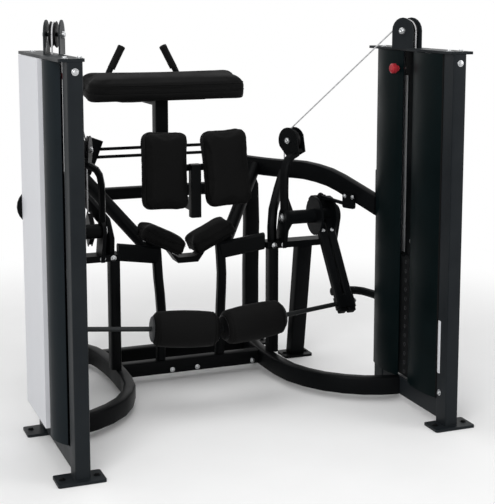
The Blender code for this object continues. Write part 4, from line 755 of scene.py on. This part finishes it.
def dress_pad(looks, meshes, label, node, body):
    """One pad's cover, which stands for its solid, with its welt and stitches; a left pad is mirrored."""
    cover, welt, thread = [mirrored(mesh) for mesh in meshes] if label.startswith("left_") else meshes
    piece = dress(f"{label}_cover", cover, looks["vinyl"], body)
    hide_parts(node)
    dress(f"{label}_welt", welt, looks["vinyl"], body)
    dress(f"{label}_stitches", thread, looks["thread"], body)


def flat_pads(nodes, looks, labels, place, size, corner, seams):
    """An upholstered pad on a flat back, with its welts and stitches, and its left twin if it has one.

    place(a, b, depth) puts a point of the first pad, with depth measured from its flat back.
    """
    width, height, thickness = size
    base, middle = place(0, 0, 0), place(0, 0, thickness / 2)
    front = (place(0, 0, 1) - base).normalized()
    cover = upholster(nodes[labels[0]].data, lambda p: (p - base).dot(front) < PAD_BACK, PAD_CAP)
    welt, thread = bmesh.new(), bmesh.new()
    for share, inset in seams:
        ring = outline(width - 2 * inset, height - 2 * inset, corner)
        points = drawn_in(cover, [place(a, b, thickness * share) for a, b in ring], SEAM_DEPTH)
        tube(welt, points, WELT_RADIUS, WELT_STEPS, closed=True)
        stitches(thread, points, middle, front * -STITCH_SHIFT)
    meshes = cover, to_mesh(welt), to_mesh(thread)
    for label in labels:
        dress_pad(looks, meshes, label, label, "machine")


def rollers(nodes, looks):
    """Foam rollers under vinyl, with a seam round each end."""
    cover = upholster(nodes["right_roller_pad"].data,
                      lambda p: from_line(p, ROLLER, ROLLER_AXIS) < ROLLER_HELD, ROLLER_CAP)
    across = UP.cross(ROLLER_AXIS).normalized()
    up = ROLLER_AXIS.cross(across)
    welt, thread = bmesh.new(), bmesh.new()
    for along, shift in ((ROLLER_SEAM_INSET, STITCH_SHIFT),
                         (ROLLER_LENGTH - ROLLER_SEAM_INSET, -STITCH_SHIFT)):
        centre = ROLLER + ROLLER_AXIS * along
        ring = [centre + (across * cos(t) + up * sin(t)) * ROLLER_SEAM_RADIUS
                for t in around(ROLLER_SEAM_STEPS)]
        points = drawn_in(cover, ring, ROLLER_SEAM_DEPTH)
        tube(welt, points, ROLLER_WELT_RADIUS, WELT_STEPS, closed=True)
        stitches(thread, points, centre, ROLLER_AXIS * shift)
    meshes = cover, to_mesh(welt), to_mesh(thread)
    for name, _ in SIDES:
        dress_pad(looks, meshes, f"{name}_roller", f"{name}_roller_pad", f"{name}_roller")


def build_pads(nodes, looks):
    """Every pad, blown up as cloth once and mirrored where it has a twin."""
    flat_pads(nodes, looks, ("right_torso_pad", "left_torso_pad"), torso_place, TORSO_SIZE, TORSO_CORNER,
              BODY_PAD_SEAMS)
    flat_pads(nodes, looks, ("right_seat_wing", "left_seat_wing"), wing_place, WING_SIZE, WING_CORNER,
              BODY_PAD_SEAMS)
    flat_pads(nodes, looks, ("arm_pad",), arm_pad_place, ARM_PAD_SIZE, ARM_PAD_CORNER, ARM_PAD_SEAMS)
    rollers(nodes, looks)


# Cables

def build_cables(looks):
    """The drops to the stacks, their end fittings and the cable that lies on each cam."""
    for name, side in SIDES:
        bm = bmesh.new()
        heights = [STEM_TOP + (DROP_TOP - STEM_TOP) * i / DROP_STEPS for i in range(DROP_STEPS + 1)]
        tube(bm, [Vector((side * TOWER_X, STACK_Y, z)) for z in heights], CABLE_RADIUS)
        drop = as_piece(f"{name}_stack_cable", bm, looks["cable"], "machine")
        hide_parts(f"{name}_cable_drop")
        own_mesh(drop)
        bm = bmesh.new()
        lathe(bm, FITTING_PROFILE, (side * TOWER_X, STACK_Y, STEM_TOP), UP)
        as_piece(f"{name}_cable_fitting", bm, looks["bolt"], f"{name}_stack")
        bm = bmesh.new()
        turns = [ARM_RANGE * i / CAM_STEPS for i in range(CAM_STEPS + 1)]
        tube(bm, [Vector((side * CAM_X, PIVOT.y + CAM_LINE * cos(t), PIVOT.z - CAM_LINE * sin(t)))
                  for t in turns], CAM_CABLE_RADIUS)
        as_piece(f"{name}_cam_cable", bm, looks["cable"], f"{name}_arm")


# Bolts

def bolt_head(bm, profile, centre, axis, size, steps=20):
    """A turned head from a profile of shares of its radius."""
    lathe(bm, [(size * share, height) for share, height in profile], centre, axis, steps)


def hex_bolt(bm, centre, axis, size=FRAME_HEX):
    """A washer and a chamfered six-sided head, standing on a face."""
    bolt_head(bm, WASHER_PROFILE, centre, axis, size)
    bolt_head(bm, HEX_PROFILE, centre, axis, size, steps=6)


def dome_bolt(bm, centre, axis, size=PAD_DOME):
    """A round-headed bolt with a socket."""
    bolt_head(bm, DOME_PROFILE, centre, axis, size)


def pad_bolts(bm, side, place, bolts):
    """A grid of round-headed bolts on the back of one pad."""
    across, along, depth = bolts
    out = place(0, 0, 0) - place(0, 0, 1)
    for a in across:
        for b in along:
            dome_bolt(bm, side_point(side, place(a, b, depth)), side_point(side, out))


def frame_bolts(nodes, name, side):
    """The bright bolts of one half of the frame."""
    bm = bmesh.new()
    for place, out in FRAME_BOLTS:
        hex_bolt(bm, side_point(side, place), side_point(side, out))
    for place, out in RANGE_BOLTS:
        hex_bolt(bm, side_point(side, place), side_point(side, out), RANGE_HEX)
    pad_bolts(bm, side, torso_place, TORSO_BOLTS)
    pad_bolts(bm, side, wing_place, WING_BOLTS)
    pad_bolts(bm, side, arm_pad_place, ARM_PAD_BOLTS)
    axis = side_point(side, PULLEY_AXIS)
    for solid, centre in PULLEY_HOLDERS:
        for out in (axis, -axis):
            end = end_along(nodes[f"{name}_{solid}"], side_point(side, centre), out, AXLE_RADIUS)
            dome_bolt(bm, end, out, PULLEY_DOME)
    if name == "right":
        for x in BEAM_BOLTS_X:
            hex_bolt(bm, (x, BEAM_FRONT, BEAM_BOLTS_Z), TO_FRONT, BEAM_HEX)
    return bm


def floor_bolts(side):
    """The black bolts of one half's foot plates."""
    bm = bmesh.new()
    for x, y, half in FEET:
        for shift in (-half, half):
            hex_bolt(bm, side_point(side, (x + shift, y, FOOT_TOP)), UP)
    return bm


def arm_bolts(arm, side):
    """The bright bolts of one arm: on its tubes, its shaft's ends and its roller's axle."""
    bm = bmesh.new()
    _, back = arm_directions()
    for x in ARM_TUBES_X:
        hex_bolt(bm, side_point(side, arm_point(x, TUBE_BOLT_ALONG, -ARM_TUBE / 2)), -back, TUBE_HEX)
    for out in (OUTWARD, -OUTWARD):
        dome_bolt(bm, end_along(arm, side_point(side, PIVOT), out, SHAFT_END_RADIUS), out, SHAFT_DOME)
    along = side_point(side, ROLLER_AXIS)
    hex_bolt(bm, end_along(arm, side_point(side, ROLLER), along, ROD_TIP_RADIUS), along, ROD_HEX)
    return bm


def build_bolts(nodes, looks):
    """All bolts, in one piece for each finish and body of a side."""
    for name, side in SIDES:
        as_piece(f"{name}_bolts", frame_bolts(nodes, name, side), looks["bolt"], "machine")
        as_piece(f"{name}_floor_bolts", floor_bolts(side), looks["iron"], "machine")
        as_piece(f"{name}_arm_bolts", arm_bolts(nodes[f"{name}_swing_arm"], side), looks["bolt"],
                 f"{name}_arm")


# Plugs, grips, strips, pin-hole rings and seals

def plug(bm, centre, axis, size):
    """A moulded plug in the end of a square arm tube, with a domed rim."""
    other = axis.cross(OUTWARD)
    stepped(bm, (size, size), PLUG_PROFILE,
            lambda a, b, height: centre + axis * height + OUTWARD * a + other * b)


def build_plugs(looks):
    """End plugs of the arm tubes."""
    down, _ = arm_directions()
    for name, side in SIDES:
        bm = bmesh.new()
        for x in ARM_TUBES_X:
            for along, out in ((ARM_TOP, -down), (ARM_BOTTOM, down)):
                plug(bm, side_point(side, arm_point(x, along)), out, ARM_TUBE)
        as_piece(f"{name}_arm_plugs", bm, looks["rubber"], f"{name}_arm")


def raised(profile, height):
    """A (radius, height) profile moved along its axis."""
    return [(radius, height + step) for radius, step in profile]


def build_grips(nodes, looks):
    """Ribbed rubber sleeves on the two handles, along the line that fits each handle's points."""
    for name, side in SIDES:
        points = [v.co for v in nodes["handlebar"].data.vertices
                  if v.co.x * side > 0 and v.co.z > GRIP_BOTTOM]
        middle = sum(points, Vector()) / len(points)
        slope = (sum((p.z - middle.z) * (p.x - middle.x) for p in points)
                 / sum((p.z - middle.z) ** 2 for p in points))
        axis = Vector((slope, 0, 1)).normalized()
        reach = max((p - middle).dot(axis) for p in points)
        profile = raised(GRIP_FOOT, GRIP_START)
        for i in range(int((reach - GRIP_START - GRIP_PLAIN) / GRIP_PITCH)):
            profile += raised(GRIP_RIB, GRIP_START + GRIP_PITCH * i)
        profile += raised(GRIP_HEAD, reach)
        bm = bmesh.new()
        lathe(bm, profile, middle, axis, GRIP_STEPS)
        as_piece(f"{name}_grip", bm, looks["rubber"], "machine")


def strip(side, face, centre, size, profile):
    """An upright strip on a face across X, standing inward from it."""
    bm = bmesh.new()
    stepped(bm, size, profile, lambda a, b, height: (side * (face - height), centre[0] + a, centre[1] + b))
    return bm


def build_strips(looks):
    """The plain pale strip on each front column, and a rib inside each side panel, painted paler than the
    panel as a painted highlight seen through the slot.
    """
    for name, side in SIDES:
        as_piece(f"{name}_column_strip", strip(side, COLUMN_INNER, STRIP_CENTRE, STRIP_SIZE, STRIP_PROFILE),
                 looks["panel"], "machine")
        # The rib's paler paint is a painted highlight, not the panel's own colour
        as_piece(f"{name}_panel_highlight_rib", strip(side, PANEL_INSIDE, RIB_CENTRE, RIB_SIZE, RIB_PROFILE),
                 looks["rib"], "machine")


def build_bushings(looks):
    """The rings round the pin holes in the plates' inner side, one for each plate."""
    for name, side in SIDES:
        for label, body, plates, gap in (
                ("resting", "machine", range(RESTING_PLATES), 0.0),
                ("lifted", f"{name}_stack", range(RESTING_PLATES, ALL_PLATES), LIFTED_GAP)):
            bm = bmesh.new()
            for i in plates:
                centre = (side * PLATE_INNER, STACK_Y, STACK_BOTTOM + PLATE_PITCH * (i + 0.5) + gap)
                lathe(bm, BUSHING_PROFILE, centre, (-side, 0, 0))
            as_piece(f"{name}_{label}_bushings", bm, looks["bushing"], body)


def build_seals(looks):
    """The rubber bead between each front column and the cover behind it."""
    path = [SEAL_BOTTOM.lerp(SEAL_TOP, i / SEAL_STEPS) for i in range(SEAL_STEPS + 1)]
    for name, side in SIDES:
        bm = bmesh.new()
        tube(bm, [side_point(side, point) for point in path], SEAL_RADIUS)
        as_piece(f"{name}_cover_seal", bm, looks["rubber"], "machine")


# Studio

def build_studio():
    """Pale floor that fades to white, a soft white world, three large lamps and the camera."""
    scene = bpy.context.scene
    scene.view_settings.view_transform = 'Standard'
    build_floor()
    build_world(scene)
    for name, place, target, size, watts in LAMPS:
        lamp(name, place, target, size, watts)
    camera = bpy.data.objects.new("camera", bpy.data.cameras.new("camera"))
    scene.collection.objects.link(camera)
    camera.location = CAMERA_PLACE
    camera.rotation_euler = (pi / 2 - CAMERA_PITCH, 0, -CAMERA_YAW)
    camera.data.lens = CAMERA_LENS
    camera.data.sensor_width = CAMERA_SENSOR
    camera.data.shift_y = CAMERA_SHIFT
    scene.camera = camera


def lamp(name, place, target, size, watts):
    """A round area lamp that points at its target."""
    light = bpy.data.lights.new(name, 'AREA')
    light.shape = 'DISK'
    light.size = size
    light.energy = watts
    made = bpy.data.objects.new(name, light)
    made.location = place
    made.rotation_euler = (Vector(target) - Vector(place)).to_track_quat('-Z', 'Y').to_euler()
    bpy.context.scene.collection.objects.link(made)


def build_floor():
    """A pale round floor whose outer part goes over into plain white."""
    bm = bmesh.new()
    bmesh.ops.create_circle(bm, cap_ends=True, segments=FLOOR_STEPS, radius=FLOOR_RADIUS)
    mesh = bpy.data.meshes.new("floor")
    bm.to_mesh(mesh)
    bm.free()
    made, shader, place, add, link = new_material("pale_floor")
    spread(add, link, noise(add, place, scale=3.0, detail=4.0),
           (0.90, 0.90, 0.90), (0.92, 0.92, 0.92), (0.70, 0.80))
    reach = add("ShaderNodeVectorMath", [(0, place)], operation='LENGTH').outputs["Value"]
    fade = add("ShaderNodeMapRange",
               [("Value", reach), ("From Min", FLOOR_FADE_START), ("From Max", FLOOR_FADE_END)],
               interpolation_type='SMOOTHSTEP').outputs[0]
    white = add("ShaderNodeEmission", [("Color", (1, 1, 1, 1)), ("Strength", 1.0)]).outputs[0]
    blend = add("ShaderNodeMixShader", [("Fac", fade), (1, shader.outputs[0]), (2, white)]).outputs[0]
    tree = made.node_tree
    tree.links.new(blend, tree.nodes["Material Output"].inputs["Surface"])
    mesh.materials.append(made)
    floor = bpy.data.objects.new("floor", mesh)
    bpy.context.scene.collection.objects.link(floor)


def build_world(scene):
    """White for the camera and for reflections, and a soft even light for all else."""
    world = bpy.data.worlds.new("studio")
    scene.world = world
    world.use_nodes = True
    tree = world.node_tree
    path = tree.nodes.new("ShaderNodeLightPath")
    seen = path.outputs["Is Camera Ray"]
    for kind in ("Is Glossy Ray", "Is Transmission Ray"):
        either = tree.nodes.new("ShaderNodeMath")
        either.operation = 'MAXIMUM'
        tree.links.new(seen, either.inputs[0])
        tree.links.new(path.outputs[kind], either.inputs[1])
        seen = either.outputs[0]
    level = tree.nodes.new("ShaderNodeMapRange")
    level.inputs["To Min"].default_value = WORLD_LIGHT
    level.inputs["To Max"].default_value = 1.0
    tree.links.new(seen, level.inputs["Value"])
    shine = tree.nodes["Background"]
    shine.inputs["Color"].default_value = (1, 1, 1, 1)
    tree.links.new(level.outputs[0], shine.inputs["Strength"])


def main():
    """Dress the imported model."""
    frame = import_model()
    looks = make_materials()
    nodes = frame["nodes"]
    paint_solids(nodes, looks)
    repaint_fittings(nodes, looks)
    build_studio()
    build_cables(looks)
    build_pads(nodes, looks)
    build_bolts(nodes, looks)
    build_plugs(looks)
    build_grips(nodes, looks)
    build_strips(looks)
    build_bushings(looks)
    build_seals(looks)


main()
